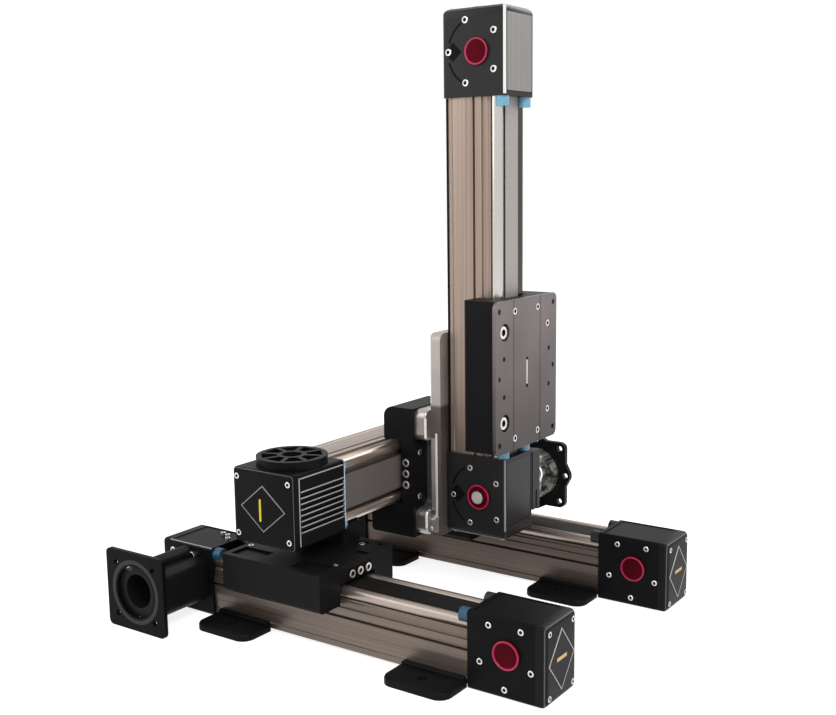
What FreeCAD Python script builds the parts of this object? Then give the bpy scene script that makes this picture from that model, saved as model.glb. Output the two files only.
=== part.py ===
import FreeCAD, Part
import math
import os
import Sketcher

# Gantry robot: two parallel belt modules carry a cross beam, which carries an upright tool axis.
# Millimetres, +Z up, origin on the floor at the centre of the base bolt pattern.
# Every belt module is drawn lying down: local x along the module, local z out of its belt face.

doc = FreeCAD.newDocument("gantry_robot")
sheet = doc.addObject("Spreadsheet::Sheet", "sizes")

# Narrow module, used for both base modules and the tool axis

narrow_width = 41
narrow_height = 52
narrow_side_inset = 1.75
narrow_belt_width = 19.6
narrow_rail_offset = 14.3
narrow_belt_turn = 15.8
narrow_bumper_long = 7

# Wide module, used for the cross beam

wide_width = 53
wide_height = 55
wide_side_inset = 2.4
wide_belt_width = 25
wide_rail_offset = 19.8
wide_belt_turn = 19
wide_bumper_long = 3.2

# What both kinds of module share

belt_drop = 7
belt_thick = 1.5
belt_room = 1.2
rail_drop = 10
rail_radius = 4
rail_seat_half = 2.2
rail_seat_gap = 0.05
rail_wall_gap = 0.6
back_inset = 1.5
deck_drop = 11
shoulder_drop = 20.7
shoulder_step = 1.4
side_line = 0.4
side_slot_width = 2
side_slot_depth = 2.8
side_slot_drop = 28
back_slot_half = 2.6
back_slot_lip = 1.8
back_slot_room = 5
back_slot_depth = 4.6
profile_wall = 3.2
cover_thick = 7
housing_round = 2.5
housing_cheek = 8.5
panel_inset = 3
panel_depth = 0.5
rib_pitch = 4
rib_groove = 1.6
rib_depth = 1.2
rib_start = 12.6
pulley_gap = 0.3
pulley_side = 0.6
shaft_radius = 5
shaft_proud = 3
running_fit = 0.05
cap_radius = 9.5
cap_thick = 1.5
bumper_radius = 4.8
bumper_offset = 5.2
diamond_long = 38
diamond_wide = 31
diamond_proud = 0.4

# Lengths of the three modules

x_drive_block = 45.3
x_drive_axis = 26
x_profile_length = 222
x_idler_block = 48.6
x_idler_axis = 28.6
y_drive_block = 47.5
y_drive_axis = 25
y_profile_length = 154.4
y_idler_block = 47.5
y_idler_axis = 25
z_drive_block = 54.8
z_drive_axis = 31
z_profile_length = 261
z_idler_block = 55
z_idler_axis = 31

# Places of the modules in the machine

x_module_start = -165
beam_overhang = 38.7
beam_front = -15.5
riser_height = 13.5
column_gap = 2.5
tool_axis_back = 9.8
tool_axis_inset = 36.8
tool_axis_low = 52.6

# Carriages and rollers

carriage_side_clearance = 0.55
carriage_deck_clearance = 1.5
carriage_round = 3
roller_radius = 8
roller_height = 8
roller_bite = 1.3
roller_groove_ratio = 1.14
roller_room = 0.3
roller_inset = 16
x_carriage_start = 83.8
x_carriage_length = 88.2
x_carriage_width = 82
x_carriage_proud = 8.2
x_carriage_reach = 27.2
y_carriage_length = 51
y_carriage_width = 100
y_carriage_proud = 6.4
y_carriage_upper_reach = 27
y_carriage_lower_reach = 40
y_carriage_round = 8
z_carriage_start = 69.9
z_carriage_length = 110
z_carriage_width = 80
z_carriage_proud = 4
z_carriage_reach = 27.5

# Tool plate: thickness, outline, tool holes and openings

tool_plate_thick = 2.5
tool_plate_width = 90
tool_plate_corner = 5
tool_hole_up = 96
tool_hole_across = 79
tool_hole_radius = 2.1
plate_key_up = 27.4
plate_key_across = 66
plate_key_radius = 1.8
plate_port_up = 65.5
plate_port_across = 31.9
plate_port_radius = 6.3
plate_screw_up = 93
plate_screw_across = 33.4
plate_screw_radius = 3
plate_slot_long = 20
plate_slot_radius = 1.6
plate_band = 39
plate_line = 0.8

# Sunk places on the base carriages, from the carriage centre

tray_along = 27
tray_long = 26
tray_across = 28.5
tray_wide = 16
tray_depth = 1.6
boss_along = 25.2
boss_across = 30
boss_radius = 5
tap_radius = 2
tap_depth = 8
tap_along = 38
tap_across = 35
slot_along = 38
slot_across = 13.5
slot_wide = 5
slot_long = 10

# Feet, adapters and brackets

foot_length = 50
foot_reach = 27.5
foot_height = 5
foot_taper = 8
foot_hole_radius = 3.5
foot_hole_reach = 14
foot_drive_inset = 29.7
foot_idler_inset = 26.3
foot_seat = 0.5
foot_lip_wide = 4
foot_lip_height = 7
riser_width = 46.5
riser_length = 20
riser_inset = 3
motor_flange_side = 58
motor_flange_thick = 3.2
motor_flange_round = 4
motor_bolt_spacing = 38
motor_bolt_radius = 2.25
motor_pilot_radius = 19.05
motor_adapter_length = 48
motor_adapter_half = 20
motor_adapter_drop = 19
motor_adapter_rise = 14
motor_adapter_round = 7
motor_adapter_bore = 12.5
adapter_post_radius = 6
adapter_post_rise = 15
shaft_hub_radius = 10
shaft_hub_length = 22
hub_gap = 4
motor_shaft_radius = 3.175
sync_shaft_radius = 6
bracket_thick = 10
bracket_inset = 2.5
bracket_width = 48
bracket_low = 50
bracket_height = 97
bracket_notch_low = 20
bracket_notch_height = 53
bracket_notch_depth = 16
bracket_corner = 6
bracket_edge_round = 1.8
tongue_inset = 7
tongue_width = 42
tongue_height = 155
z_side_block = 11
z_side_block_low = 7
z_side_slot = 2
z_bell_radius = 20
z_bell_wall = 3
z_bell_length = 34.8
z_window_long = 22
z_window_half = 13
z_window_start = 8
z_bolt_spacing = 43
z_lobe_radius = 5
z_point_reach = 30.5
z_point_half = 9.5
z_point_flat = 2
z_point_hole = 26.5
z_flange_thick = 4
y_ring_radius = 25
y_ring_height = 6
y_ring_floor = 1.5
y_ring_bore = 7
y_window_inner = 10.5
y_window_outer = 22
y_window_count = 8
y_window_rib = 1.6


# Sizes that carry both a number and the formula that binds it to the sheet
class Size:
    def __init__(self, formula, value):
        self.formula = formula
        self.value = value

    def __add__(self, other):
        return Size(f"({self.formula} + {formula(other)})", self.value + number(other))

    def __radd__(self, other):
        return Size(f"({formula(other)} + {self.formula})", number(other) + self.value)

    def __sub__(self, other):
        return Size(f"({self.formula} - {formula(other)})", self.value - number(other))

    def __rsub__(self, other):
        return Size(f"({formula(other)} - {self.formula})", number(other) - self.value)

    def __mul__(self, other):
        return Size(f"({self.formula} * {formula(other)})", self.value * number(other))

    def __rmul__(self, other):
        return Size(f"({formula(other)} * {self.formula})", number(other) * self.value)

    def __truediv__(self, other):
        return Size(f"({self.formula} / {formula(other)})", self.value / number(other))

    def __neg__(self):
        return Size(f"(0 - {self.formula})", -self.value)


def number(size):
    return size.value if isinstance(size, Size) else float(size)


def formula(size):
    return size.formula if isinstance(size, Size) else f"({size:.6f})"


def driving(row, alias, value):
    sheet.set(f"A{row}", alias)
    sheet.set(f"B{row}", str(value))
    sheet.setAlias(f"B{row}", alias)
    return Size(f"sizes.{alias}", float(value))


def bind(thing, name, size):
    thing.setExpression(name, formula(size))


# Every number named above becomes a row of the sheet

sheet_rows = []
for alias, value in list(vars().items()):
    if isinstance(value, (int, float)):
        sheet_rows.append(alias)
        vars()[alias] = driving(len(sheet_rows), alias, value)
sheet.recompute()
nothing = 0 * cover_thick

narrow = {
    "width": narrow_width,
    "height": narrow_height,
    "side_inset": narrow_side_inset,
    "belt_width": narrow_belt_width,
    "rail_offset": narrow_rail_offset,
    "turn": narrow_belt_turn,
    "bumper": narrow_bumper_long,
}
wide = {
    "width": wide_width,
    "height": wide_height,
    "side_inset": wide_side_inset,
    "belt_width": wide_belt_width,
    "rail_offset": wide_rail_offset,
    "turn": wide_belt_turn,
    "bumper": wide_bumper_long,
}
x_module = dict(
    narrow,
    drive=x_drive_block,
    drive_axis=x_drive_axis,
    profile=x_profile_length,
    idler=x_idler_block,
    idler_axis=x_idler_axis,
)
y_module = dict(
    wide,
    drive=y_drive_block,
    drive_axis=y_drive_axis,
    profile=y_profile_length,
    idler=y_idler_block,
    idler_axis=y_idler_axis,
)
z_module = dict(
    narrow,
    drive=z_drive_block,
    drive_axis=z_drive_axis,
    profile=z_profile_length,
    idler=z_idler_block,
    idler_axis=z_idler_axis,
)
x_carriage = {
    "start": x_carriage_start,
    "long": x_carriage_length,
    "wide": x_carriage_width,
    "proud": x_carriage_proud,
    "reach": x_carriage_reach,
    "low_reach": x_carriage_reach,
}

# The beam's length spaces the base modules, and the column rests beside the rear base carriage

y_length = 2 * cover_thick + y_module["drive"] + y_module["profile"] + y_module["idler"]
base_spacing = y_length - 2 * beam_overhang
inner_wall = base_spacing / 2 - x_carriage_width / 2
column_start = inner_wall - column_gap - y_carriage_length
y_carriage = {
    "start": y_length / 2 + column_start,
    "long": y_carriage_length,
    "wide": y_carriage_width,
    "proud": y_carriage_proud,
    "reach": y_carriage_upper_reach,
    "low_reach": y_carriage_lower_reach,
}
z_carriage = {
    "start": z_carriage_start,
    "long": z_carriage_length,
    "wide": z_carriage_width,
    "proud": z_carriage_proud,
    "reach": z_carriage_reach,
    "low_reach": z_carriage_reach,
}


# Frames: where a piece is drawn and how its axes lie in the machine

X = FreeCAD.Vector(1, 0, 0)
Y = FreeCAD.Vector(0, 1, 0)
Z = FreeCAD.Vector(0, 0, 1)


class Frame:
    def __init__(self, origin, ex, ey, ez):
        self.origin = origin
        self.axes = (ex, ey, ez)
        self.turn = FreeCAD.Rotation(ex, ey, ez, "ZXY")

    def at(self, x, y, z):
        place = list(self.origin)
        for amount, axis in zip((x, y, z), self.axes):
            for k in range(3):
                if axis[k] > 0.5:
                    place[k] = place[k] + amount
                elif axis[k] < -0.5:
                    place[k] = place[k] - amount
        return place


def put(thing, place, turn):
    thing.Placement = FreeCAD.Placement(FreeCAD.Vector(*[number(c) for c in place]), turn)
    for axis, coordinate in zip("xyz", place):
        bind(thing, f"Placement.Base.{axis}", coordinate)


world = Frame((nothing, nothing, nothing), X, Y, Z)
front_module = Frame((x_module_start, -base_spacing / 2, nothing), X, Y, Z)
rear_module = Frame((x_module_start, base_spacing / 2, nothing), X, Y, Z)

x_top = narrow["height"] + x_carriage["proud"]
beam_half = wide["width"] / 2 - wide["side_inset"]
beam_middle = x_top + riser_height + beam_half
beam = Frame((beam_front - wide["height"], -y_length / 2, beam_middle), Y, Z, X)
tool_axis = Frame((tool_axis_back, column_start + tool_axis_inset, tool_axis_low), Z, -Y, X)


# Sketch outlines: each fills a sketch and keeps its points tied to the sheet

def polygon(points):
    def draw(sketch):
        first = sketch.GeometryCount
        corners = [FreeCAD.Vector(number(a), number(b), 0) for a, b in points]
        count = len(corners)
        ends = corners[1:] + corners[:1]
        sketch.addGeometry([Part.LineSegment(a, b) for a, b in zip(corners, ends)])
        rules = []
        bound = []
        for k in range(count):
            rules.append(Sketcher.Constraint("Coincident", first + k, 2, first + (k + 1) % count, 1))
            for kind, size in (("DistanceX", points[k][0]), ("DistanceY", points[k][1])):
                bound.append((len(rules), size))
                rules.append(Sketcher.Constraint(kind, -1, 1, first + k, 1, number(size)))
        tie(sketch, rules, bound)
    return draw


def rectangle(a0, a1, b0, b1):
    return polygon([(a0, b0), (a1, b0), (a1, b1), (a0, b1)])


def circle(a, b, radius):
    def draw(sketch):
        own = sketch.GeometryCount
        middle = FreeCAD.Vector(number(a), number(b), 0)
        sketch.addGeometry([Part.Circle(middle, FreeCAD.Vector(0, 0, 1), number(radius))])
        rules = [
            Sketcher.Constraint("DistanceX", -1, 1, own, 3, number(a)),
            Sketcher.Constraint("DistanceY", -1, 1, own, 3, number(b)),
            Sketcher.Constraint("Radius", own, number(radius)),
        ]
        tie(sketch, rules, [(0, a), (1, b), (2, radius)])
    return draw


def stadium(a0, a1, b, radius):
    def draw(sketch):
        own = sketch.GeometryCount
        left, right, level, size = number(a0), number(a1), number(b), number(radius)
        def corner(x, side):
            return FreeCAD.Vector(x, level + side * size, 0)
        turn_right = Part.Circle(FreeCAD.Vector(right, level, 0), FreeCAD.Vector(0, 0, 1), size)
        turn_left = Part.Circle(FreeCAD.Vector(left, level, 0), FreeCAD.Vector(0, 0, 1), size)
        sketch.addGeometry([
            Part.LineSegment(corner(left, -1), corner(right, -1)),
            Part.ArcOfCircle(turn_right, -math.pi / 2, math.pi / 2),
            Part.LineSegment(corner(right, 1), corner(left, 1)),
            Part.ArcOfCircle(turn_left, math.pi / 2, 3 * math.pi / 2),
        ])
        rules = [
            Sketcher.Constraint("Tangent", own, 2, own + 1, 1),
            Sketcher.Constraint("Tangent", own + 1, 2, own + 2, 1),
            Sketcher.Constraint("Tangent", own + 2, 2, own + 3, 1),
            Sketcher.Constraint("Tangent", own + 3, 2, own, 1),
            Sketcher.Constraint("DistanceX", -1, 1, own + 1, 3, right),
            Sketcher.Constraint("DistanceY", -1, 1, own + 1, 3, level),
            Sketcher.Constraint("DistanceX", -1, 1, own + 3, 3, left),
            Sketcher.Constraint("DistanceY", -1, 1, own + 3, 3, level),
            Sketcher.Constraint("Radius", own + 1, size),
            Sketcher.Constraint("Radius", own + 3, size),
        ]
        tie(sketch, rules, [(4, a1), (5, b), (6, a0), (7, b), (8, radius), (9, radius)])
    return draw


def tie(sketch, rules, bound):
    first = sketch.ConstraintCount
    sketch.addConstraint(rules)
    for index, size in bound:
        if isinstance(size, Size):
            bind(sketch, f"Constraints[{first + index}]", size)


# Body features

planes = {"xy": ("XY_Plane", 1), "xz": ("XZ_Plane", -1), "yz": ("YZ_Plane", 1)}


def new_body(label, frame):
    piece = doc.addObject("PartDesign::Body", label)
    piece.Label = label
    put(piece, frame.origin, frame.turn)
    return piece


def sketch_on(piece, plane, start, outlines):
    role, side = planes[plane]
    flat = next(one for one in piece.Origin.OriginFeatures if one.Role == role)
    sketch = piece.newObject("Sketcher::SketchObject", f"{piece.Name}_{plane}")
    sketch.AttachmentSupport = [(flat, "")]
    sketch.MapMode = "FlatFace"
    bind(sketch, "AttachmentOffset.Base.z", side * start)
    for draw in outlines:
        draw(sketch)
    return sketch


def pad(piece, plane, start, long, outlines):
    made = piece.newObject("PartDesign::Pad", f"{piece.Name}_pad")
    made.Profile = sketch_on(piece, plane, start, outlines)
    bind(made, "Length", long)
    made.Reversed = planes[plane][1] < 0
    piece.Tip = made
    return made


def cut(piece, plane, start, long, outlines):
    made = piece.newObject("PartDesign::Pocket", f"{piece.Name}_cut")
    made.Profile = sketch_on(piece, plane, start, outlines)
    bind(made, "Length", long)
    made.Reversed = planes[plane][1] > 0
    piece.Tip = made
    return made


def soften(piece, kind, size, chosen):
    doc.recompute()
    base = piece.Tip
    names = [f"Edge{k + 1}" for k, edge in enumerate(base.Shape.Edges) if chosen(edge)]
    made = piece.newObject(f"PartDesign::{kind}", f"{piece.Name}_{kind}")
    made.Base = (base, names)
    bind(made, "Radius" if kind == "Fillet" else "Size", size)
    piece.Tip = made
    return made


def straight(axis, keep):
    def chosen(edge):
        if edge.Curve.TypeId != "Part::GeomLine":
            return False
        way = edge.Curve.Direction
        return abs(abs(way[axis]) - 1) < 1e-6 and keep(edge.CenterOfMass)
    return chosen


# Loose primitives, placed in a module's frame

def rod(name, frame, start, axis, radius, long):
    made = doc.addObject("Part::Cylinder", name)
    bind(made, "Radius", radius)
    bind(made, "Height", long)
    put(made, frame.at(*start), FreeCAD.Rotation(Z, frame.axes[axis]))
    return made


def together(label, pieces):
    made = doc.addObject("Part::MultiFuse", label)
    made.Label = label
    made.Shapes = pieces
    return made


def without(label, whole, tool):
    made = doc.addObject("Part::Cut", label)
    made.Label = label
    made.Base = whole
    made.Tool = tool
    return made


def places(module):
    drive_end = cover_thick + module["drive"]
    profile_end = drive_end + module["profile"]
    return {
        "drive": cover_thick,
        "profile": drive_end,
        "idler": profile_end,
        "cover": profile_end + module["idler"],
        "drive_axis": drive_end - module["drive_axis"],
        "idler_axis": profile_end + module["idler_axis"],
        "axis": module["height"] - belt_drop - module["turn"],
        "rail": module["height"] - rail_drop,
    }


# Extruded profile: rail ledges on both shoulders, belt deck between them, channel for the
# returning belt, one slot and one fine line along each side and a keyed slot along the back

def profile_section(module):
    top = module["height"]
    side = module["width"] / 2 - module["side_inset"]
    foot = side - foot_seat
    upper = side - side_line / 2
    shoulder = side - shoulder_step
    rail = module["rail_offset"]
    rail_low = top - rail_drop - rail_radius
    inner = rail - rail_radius - rail_wall_gap
    slot = top - side_slot_drop
    return [
        (back_slot_half, back_inset),
        (foot - 3 * side_line, back_inset),
        (foot, back_inset + 2 * side_line),
        (foot, back_inset + back_slot_depth),
        (foot - side_line, back_inset + back_slot_depth + side_line),
        (foot, back_inset + back_slot_depth + 2 * side_line),
        (side, slot - 3 * side_slot_width),
        (upper, slot),
        (upper - side_slot_depth, slot),
        (upper - side_slot_depth, slot + side_slot_width),
        (upper, slot + side_slot_width),
        (upper, top - shoulder_drop),
        (shoulder, top - shoulder_drop),
        (shoulder, rail_low - rail_seat_half),
        (rail + rail_seat_half, rail_low - shoulder_step),
        (rail + rail_seat_half, rail_low - rail_seat_gap),
        (rail - rail_seat_half, rail_low - rail_seat_gap),
        (rail - rail_seat_half, rail_low - 2 * side_line),
        (inner, rail_low - 2 * side_line),
        (inner, top - deck_drop),
    ]


def profile(label, frame, module):
    where = places(module)
    slot = [
        (back_slot_half, back_inset + back_slot_lip),
        (back_slot_room, back_inset + back_slot_lip),
        (back_slot_room, back_inset + back_slot_depth),
    ]
    right = list(reversed(slot)) + profile_section(module)
    outline = right + [(-a, b) for a, b in reversed(right)]
    lower = where["axis"] - module["turn"]
    channel_half = module["belt_width"] / 2 + belt_room
    channel = rectangle(-channel_half, channel_half, lower - belt_room, lower + belt_thick + belt_room)
    hollow_half = module["width"] / 2 - module["side_inset"] - side_slot_depth - profile_wall
    hollow_low = lower + belt_thick + belt_room + profile_wall
    hollow_high = module["height"] - rail_drop - rail_radius - profile_wall
    hollow = rectangle(-hollow_half, hollow_half, hollow_low, hollow_high)
    piece = new_body(label, frame)
    pad(piece, "yz", where["profile"], module["profile"], [polygon(outline), channel, hollow])
    return piece


def rails(label, frame, module):
    where = places(module)
    pair = [
        rod(f"{label}_{k}", frame, (where["profile"], side * module["rail_offset"], where["rail"]),
            0, rail_radius, module["profile"])
        for k, side in enumerate((-1, 1))
    ]
    return together(label, pair)


def belt(label, frame, module):
    where = places(module)
    piece = new_body(label, frame)
    loops = [
        stadium(where["drive_axis"], where["idler_axis"], where["axis"], radius)
        for radius in (module["turn"], module["turn"] - belt_thick)
    ]
    pad(piece, "xz", -module["belt_width"] / 2, module["belt_width"], loops)
    return piece


# End housings: a block with a pulley chamber that opens towards the profile

def housing(label, frame, module, start, long, axis, mouth):
    where = places(module)
    half = module["width"] / 2
    piece = new_body(label, frame)
    pad(piece, "yz", start, long, [rectangle(-half, half, nothing, module["height"])])
    soften(piece, "Fillet", housing_round, straight(0, lambda c: True))
    room = module["width"] - 2 * housing_cheek
    ring = module["turn"] + belt_room
    cut(piece, "xz", -room / 2, room, [circle(axis, where["axis"], ring)])
    opening = rectangle(mouth[0], mouth[1], where["axis"] - ring, where["axis"] + ring)
    cut(piece, "xz", -room / 2, room, [opening])
    cut(piece, "xz", -half, module["width"], [circle(axis, where["axis"], shaft_radius + running_fit)])
    return piece


# Sunk panel on the belt face of a narrow housing

def panel(piece, module, start, long):
    half = module["width"] / 2 - panel_inset
    face = rectangle(start + panel_inset, start + long - panel_inset, -half, half)
    cut(piece, "xy", module["height"] - panel_depth, panel_depth, [face])


# Fine grooves along the belt face of the beam's drive block

def ribs(piece, module, start, long):
    first = rib_start - module["width"] / 2
    deep = module["height"] - rib_depth
    high = module["height"] + rib_depth
    starts = [first + k * rib_pitch for k in range(7)]
    grooves = [rectangle(low, low + rib_groove, deep, high) for low in starts]
    cut(piece, "yz", start, long, grooves)


def cover(label, frame, module, start, outward):
    half = module["width"] / 2
    middle = module["height"] / 2
    piece = new_body(label, frame)
    pad(piece, "yz", start, cover_thick, [rectangle(-half, half, nothing, module["height"])])
    diamond = [
        (diamond_wide / 2, middle),
        (nothing, middle + diamond_long / 2),
        (-diamond_wide / 2, middle),
        (nothing, middle - diamond_long / 2),
    ]
    face = start + cover_thick if outward > 0 else start - diamond_proud
    pad(piece, "yz", face, diamond_proud, [polygon(diamond)])
    edge = number(half)
    soften(piece, "Fillet", housing_round, straight(0, lambda c: abs(abs(c.y) - edge) < 0.05))
    return piece


def bearing_cap(name, frame, module, axis, side, open_ring):
    where = places(module)
    face = module["width"] / 2 if side > 0 else -module["width"] / 2 - cap_thick
    disc = rod(f"{name}_disc", frame, (axis, face, where["axis"]), 1, cap_radius, cap_thick)
    if not open_ring:
        return disc
    start = (axis, face - cap_thick, where["axis"])
    bore = rod(f"{name}_bore", frame, start, 1, shaft_radius + running_fit, 3 * cap_thick)
    return without(f"{name}_ring", disc, bore)


def bumpers(name, frame, module):
    where = places(module)
    level = module["height"] - bumper_offset
    long = module["bumper"]
    made = []
    for end, start in (("low", where["profile"]), ("high", where["idler"] - long)):
        for k, side in enumerate((-1, 1)):
            spot = (start, side * (module["width"] / 2 - bumper_offset), level)
            shaft = (start - long, side * module["rail_offset"], where["rail"])
            plug = rod(f"{name}_{end}{k}", frame, spot, 0, bumper_radius, long)
            hole = rod(f"{name}_{end}{k}_rail", frame, shaft, 0, rail_radius + running_fit, 3 * long)
            made.append(without(f"{name}_{end}{k}_cut", plug, hole))
    return made


# Toothed pulleys with their shafts

def pulley(name, frame, module, axis, low_end, high_end):
    where = places(module)
    drum_long = module["width"] - 2 * housing_cheek - 2 * pulley_side
    radius = module["turn"] - belt_thick - pulley_gap
    drum = rod(f"{name}_drum", frame, (axis, -drum_long / 2, where["axis"]), 1, radius, drum_long)
    shaft = rod(f"{name}_shaft", frame, (axis, low_end, where["axis"]), 1, shaft_radius,
                high_end - low_end)
    return [drum, shaft]


# Saddle carriage with a pocket for each grooved roller

def roller_reach(module):
    return module["rail_offset"] + rail_radius + roller_radius - roller_bite


def roller_spots(module, carriage):
    first = carriage["start"] + roller_inset
    last = carriage["start"] + carriage["long"] - roller_inset
    offset = roller_reach(module)
    return [(x, side * offset) for x in (first, last) for side in (-1, 1)]


def saddle(label, frame, module, carriage, rounds):
    where = places(module)
    top = module["height"] + carriage["proud"]
    inner = module["width"] / 2 - module["side_inset"] + carriage_side_clearance
    outer = carriage["wide"] / 2
    deck = where["rail"] + rail_radius + carriage_deck_clearance
    low = top - carriage["reach"]
    low_side = top - carriage["low_reach"]
    outline = [
        (-outer, low_side),
        (-inner, low_side),
        (-inner, deck),
        (inner, deck),
        (inner, low),
        (outer, low),
        (outer, top),
        (-outer, top),
    ]
    piece = new_body(label, frame)
    pad(piece, "yz", carriage["start"], carriage["long"], [polygon(outline)])
    edge = number(outer)
    for size, side in rounds:
        soften(piece, "Fillet", size, straight(
            0, lambda c: abs(c.y - side * edge) < 0.05 and c.z < number(deck)))
    pockets = [circle(x, y, roller_radius + roller_room) for x, y in roller_spots(module, carriage)]
    low_pocket = where["rail"] - roller_height / 2 - roller_room
    cut(piece, "xy", low_pocket, roller_height + 2 * roller_room, pockets)
    return piece


# Rollers with a V groove that straddles the rail

def cone(name, frame, start, axis, first, last, long):
    made = doc.addObject("Part::Cone", name)
    bind(made, "Radius1", first)
    bind(made, "Radius2", last)
    bind(made, "Height", long)
    put(made, frame.at(*start), FreeCAD.Rotation(Z, frame.axes[axis]))
    return made


def rollers(name, frame, module, carriage):
    where = places(module)
    half = roller_height / 2
    waist = roller_radius + rail_radius - roller_bite - roller_groove_ratio * rail_radius
    made = []
    for k, (x, y) in enumerate(roller_spots(module, carriage)):
        low = (x, y, where["rail"] - half)
        middle = (x, y, where["rail"])
        made.append(cone(f"{name}_{k}_low", frame, low, 2, roller_radius, waist, half))
        made.append(cone(f"{name}_{k}_high", frame, middle, 2, waist, roller_radius, half))
    return made


# One whole module: profile, rails, belt, housings, covers

def belt_module(prefix, suffix, frame, module):
    where = places(module)
    drive = housing(f"{prefix}_drive_housing{suffix}", frame, module, where["drive"], module["drive"],
                    where["drive_axis"], (where["drive_axis"], where["profile"]))
    idler = housing(f"{prefix}_idler_housing{suffix}", frame, module, where["idler"], module["idler"],
                    where["idler_axis"], (where["idler"], where["idler_axis"]))
    nodes = {
        "profile": profile(f"{prefix}_profile{suffix}", frame, module),
        "rails": rails(f"{prefix}_rails{suffix}", frame, module),
        "belt": belt(f"{prefix}_belt{suffix}", frame, module),
        "drive": drive,
        "idler": idler,
    }
    covers = [
        cover(f"{prefix}_drive_cover{suffix}", frame, module, nothing, -1),
        cover(f"{prefix}_idler_cover{suffix}", frame, module, where["cover"], 1),
    ]
    return nodes, covers


x_where = places(x_module)
y_where = places(y_module)
z_where = places(z_module)
half_narrow = narrow["width"] / 2
half_wide = wide["width"] / 2

front_nodes, front_covers = belt_module("x", "_front", front_module, x_module)
rear_nodes, rear_covers = belt_module("x", "_rear", rear_module, x_module)
beam_nodes, beam_covers = belt_module("y", "", beam, y_module)
tool_nodes, tool_covers = belt_module("z", "", tool_axis, z_module)
ribs(beam_nodes["drive"], y_module, y_where["drive"], y_module["drive"])
for group, module, where in ((front_nodes, x_module, x_where), (rear_nodes, x_module, x_where),
                             (tool_nodes, z_module, z_where)):
    panel(group["drive"], module, where["drive"], module["drive"])
    panel(group["idler"], module, where["idler"], module["idler"])

# Side block that carries the tool axis motor, with a clamping slot

side_block = tool_nodes["drive"]
block_start = -half_narrow - z_side_block
block_face = rectangle(z_where["drive"] + z_side_block_low, z_where["profile"] - z_side_slot,
                       z_side_block_low / 2, z_module["height"])
pad(side_block, "xz", block_start, z_side_block, [block_face])
cut(side_block, "xz", block_start, z_side_block,
    [circle(z_where["drive_axis"], z_where["axis"], shaft_radius + running_fit)])
slot_middle = block_start + z_side_block / 2
cut(side_block, "xy", z_module["height"] - z_side_block, z_side_block,
    [rectangle(z_where["drive"] + z_side_block_low, z_where["drive_axis"] - z_side_slot,
               slot_middle - z_side_slot / 2, slot_middle + z_side_slot / 2)])

nodes = list(front_nodes.values()) + list(rear_nodes.values()) + list(beam_nodes.values())
nodes += list(tool_nodes.values()) + beam_covers + tool_covers
nodes.append(together("x_drive_covers", [front_covers[0], rear_covers[0]]))
nodes.append(together("x_idler_covers", [front_covers[1], rear_covers[1]]))

# Bearing caps: plain on the idler shafts, rings round the drive shafts

x_caps = []
x_stops = []
for tag, frame in (("front", front_module), ("rear", rear_module)):
    for side_tag, side in (("a", -1), ("b", 1)):
        name = f"x_{tag}_{side_tag}"
        for end, open_ring in (("idler", False), ("drive", True)):
            x_caps.append(bearing_cap(f"{name}_{end}_cap", frame, x_module, x_where[f"{end}_axis"],
                                      side, open_ring))
    x_stops += bumpers(f"x_{tag}_bumper", frame, x_module)
nodes.append(together("x_bearing_caps", x_caps))
nodes.append(together("x_bumpers", x_stops))
nodes.append(together("y_bumpers", bumpers("y_bumper", beam, y_module)))
z_caps = [
    bearing_cap("z_idler_cap_a", tool_axis, z_module, z_where["idler_axis"], 1, False),
    bearing_cap("z_idler_cap_b", tool_axis, z_module, z_where["idler_axis"], -1, False),
    bearing_cap("z_drive_cap", tool_axis, z_module, z_where["drive_axis"], 1, True),
]
nodes.append(together("z_bearing_caps", z_caps))
nodes.append(together("z_bumpers", bumpers("z_bumper", tool_axis, z_module)))

# Pulleys and shafts: one shaft line turns both base drive pulleys

for tag, frame in (("front", front_module), ("rear", rear_module)):
    idler = pulley(f"x_idler_{tag}", frame, x_module, x_where["idler_axis"], -half_narrow, half_narrow)
    nodes.append(together(f"x_idler_pulley_{tag}", idler))
hub_start = -half_narrow - hub_gap - shaft_hub_length
sync_line = pulley("x_drive_front", front_module, x_module, x_where["drive_axis"],
                   hub_start + shaft_hub_length / 2, base_spacing + half_narrow + shaft_proud)
sync_line.append(pulley("x_drive_rear", rear_module, x_module, x_where["drive_axis"],
                        -half_narrow, half_narrow)[0])
tube_start = half_narrow + cap_thick + roller_room
tube_long = base_spacing - narrow["width"] - 2 * cap_thick - 2 * roller_room
tube_spot = (x_where["drive_axis"], tube_start, x_where["axis"])
sync_line.append(rod("x_sync_tube", front_module, tube_spot, 1, sync_shaft_radius, tube_long))
for k, place in enumerate((tube_start + hub_gap, tube_start + tube_long - shaft_hub_length - hub_gap)):
    hub_spot = (x_where["drive_axis"], place, x_where["axis"])
    sync_line.append(rod(f"x_sync_hub_{k}", front_module, hub_spot, 1, shaft_hub_radius,
                         shaft_hub_length))
drive_hub_spot = (x_where["drive_axis"], hub_start, x_where["axis"])
sync_line.append(rod("x_drive_hub", front_module, drive_hub_spot, 1, shaft_hub_radius,
                     shaft_hub_length))
bore_spot = (x_where["drive_axis"], hub_start - hub_gap, x_where["axis"])
motor_bore = rod("x_motor_bore", front_module, bore_spot, 1, motor_shaft_radius + running_fit,
                 shaft_hub_length / 2 + hub_gap)
nodes.append(without("x_drive_shaft", together("x_sync_solid", sync_line), motor_bore))
nodes.append(together("y_drive_pulley", pulley("y_drive", beam, y_module, y_where["drive_axis"],
                                               cap_thick - half_wide, half_wide + shaft_proud)))
nodes.append(together("y_idler_pulley", pulley("y_idler", beam, y_module, y_where["idler_axis"],
                                               cap_thick - half_wide, half_wide - cap_thick)))
z_hub_start = block_start - hub_gap - shaft_hub_length
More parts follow.
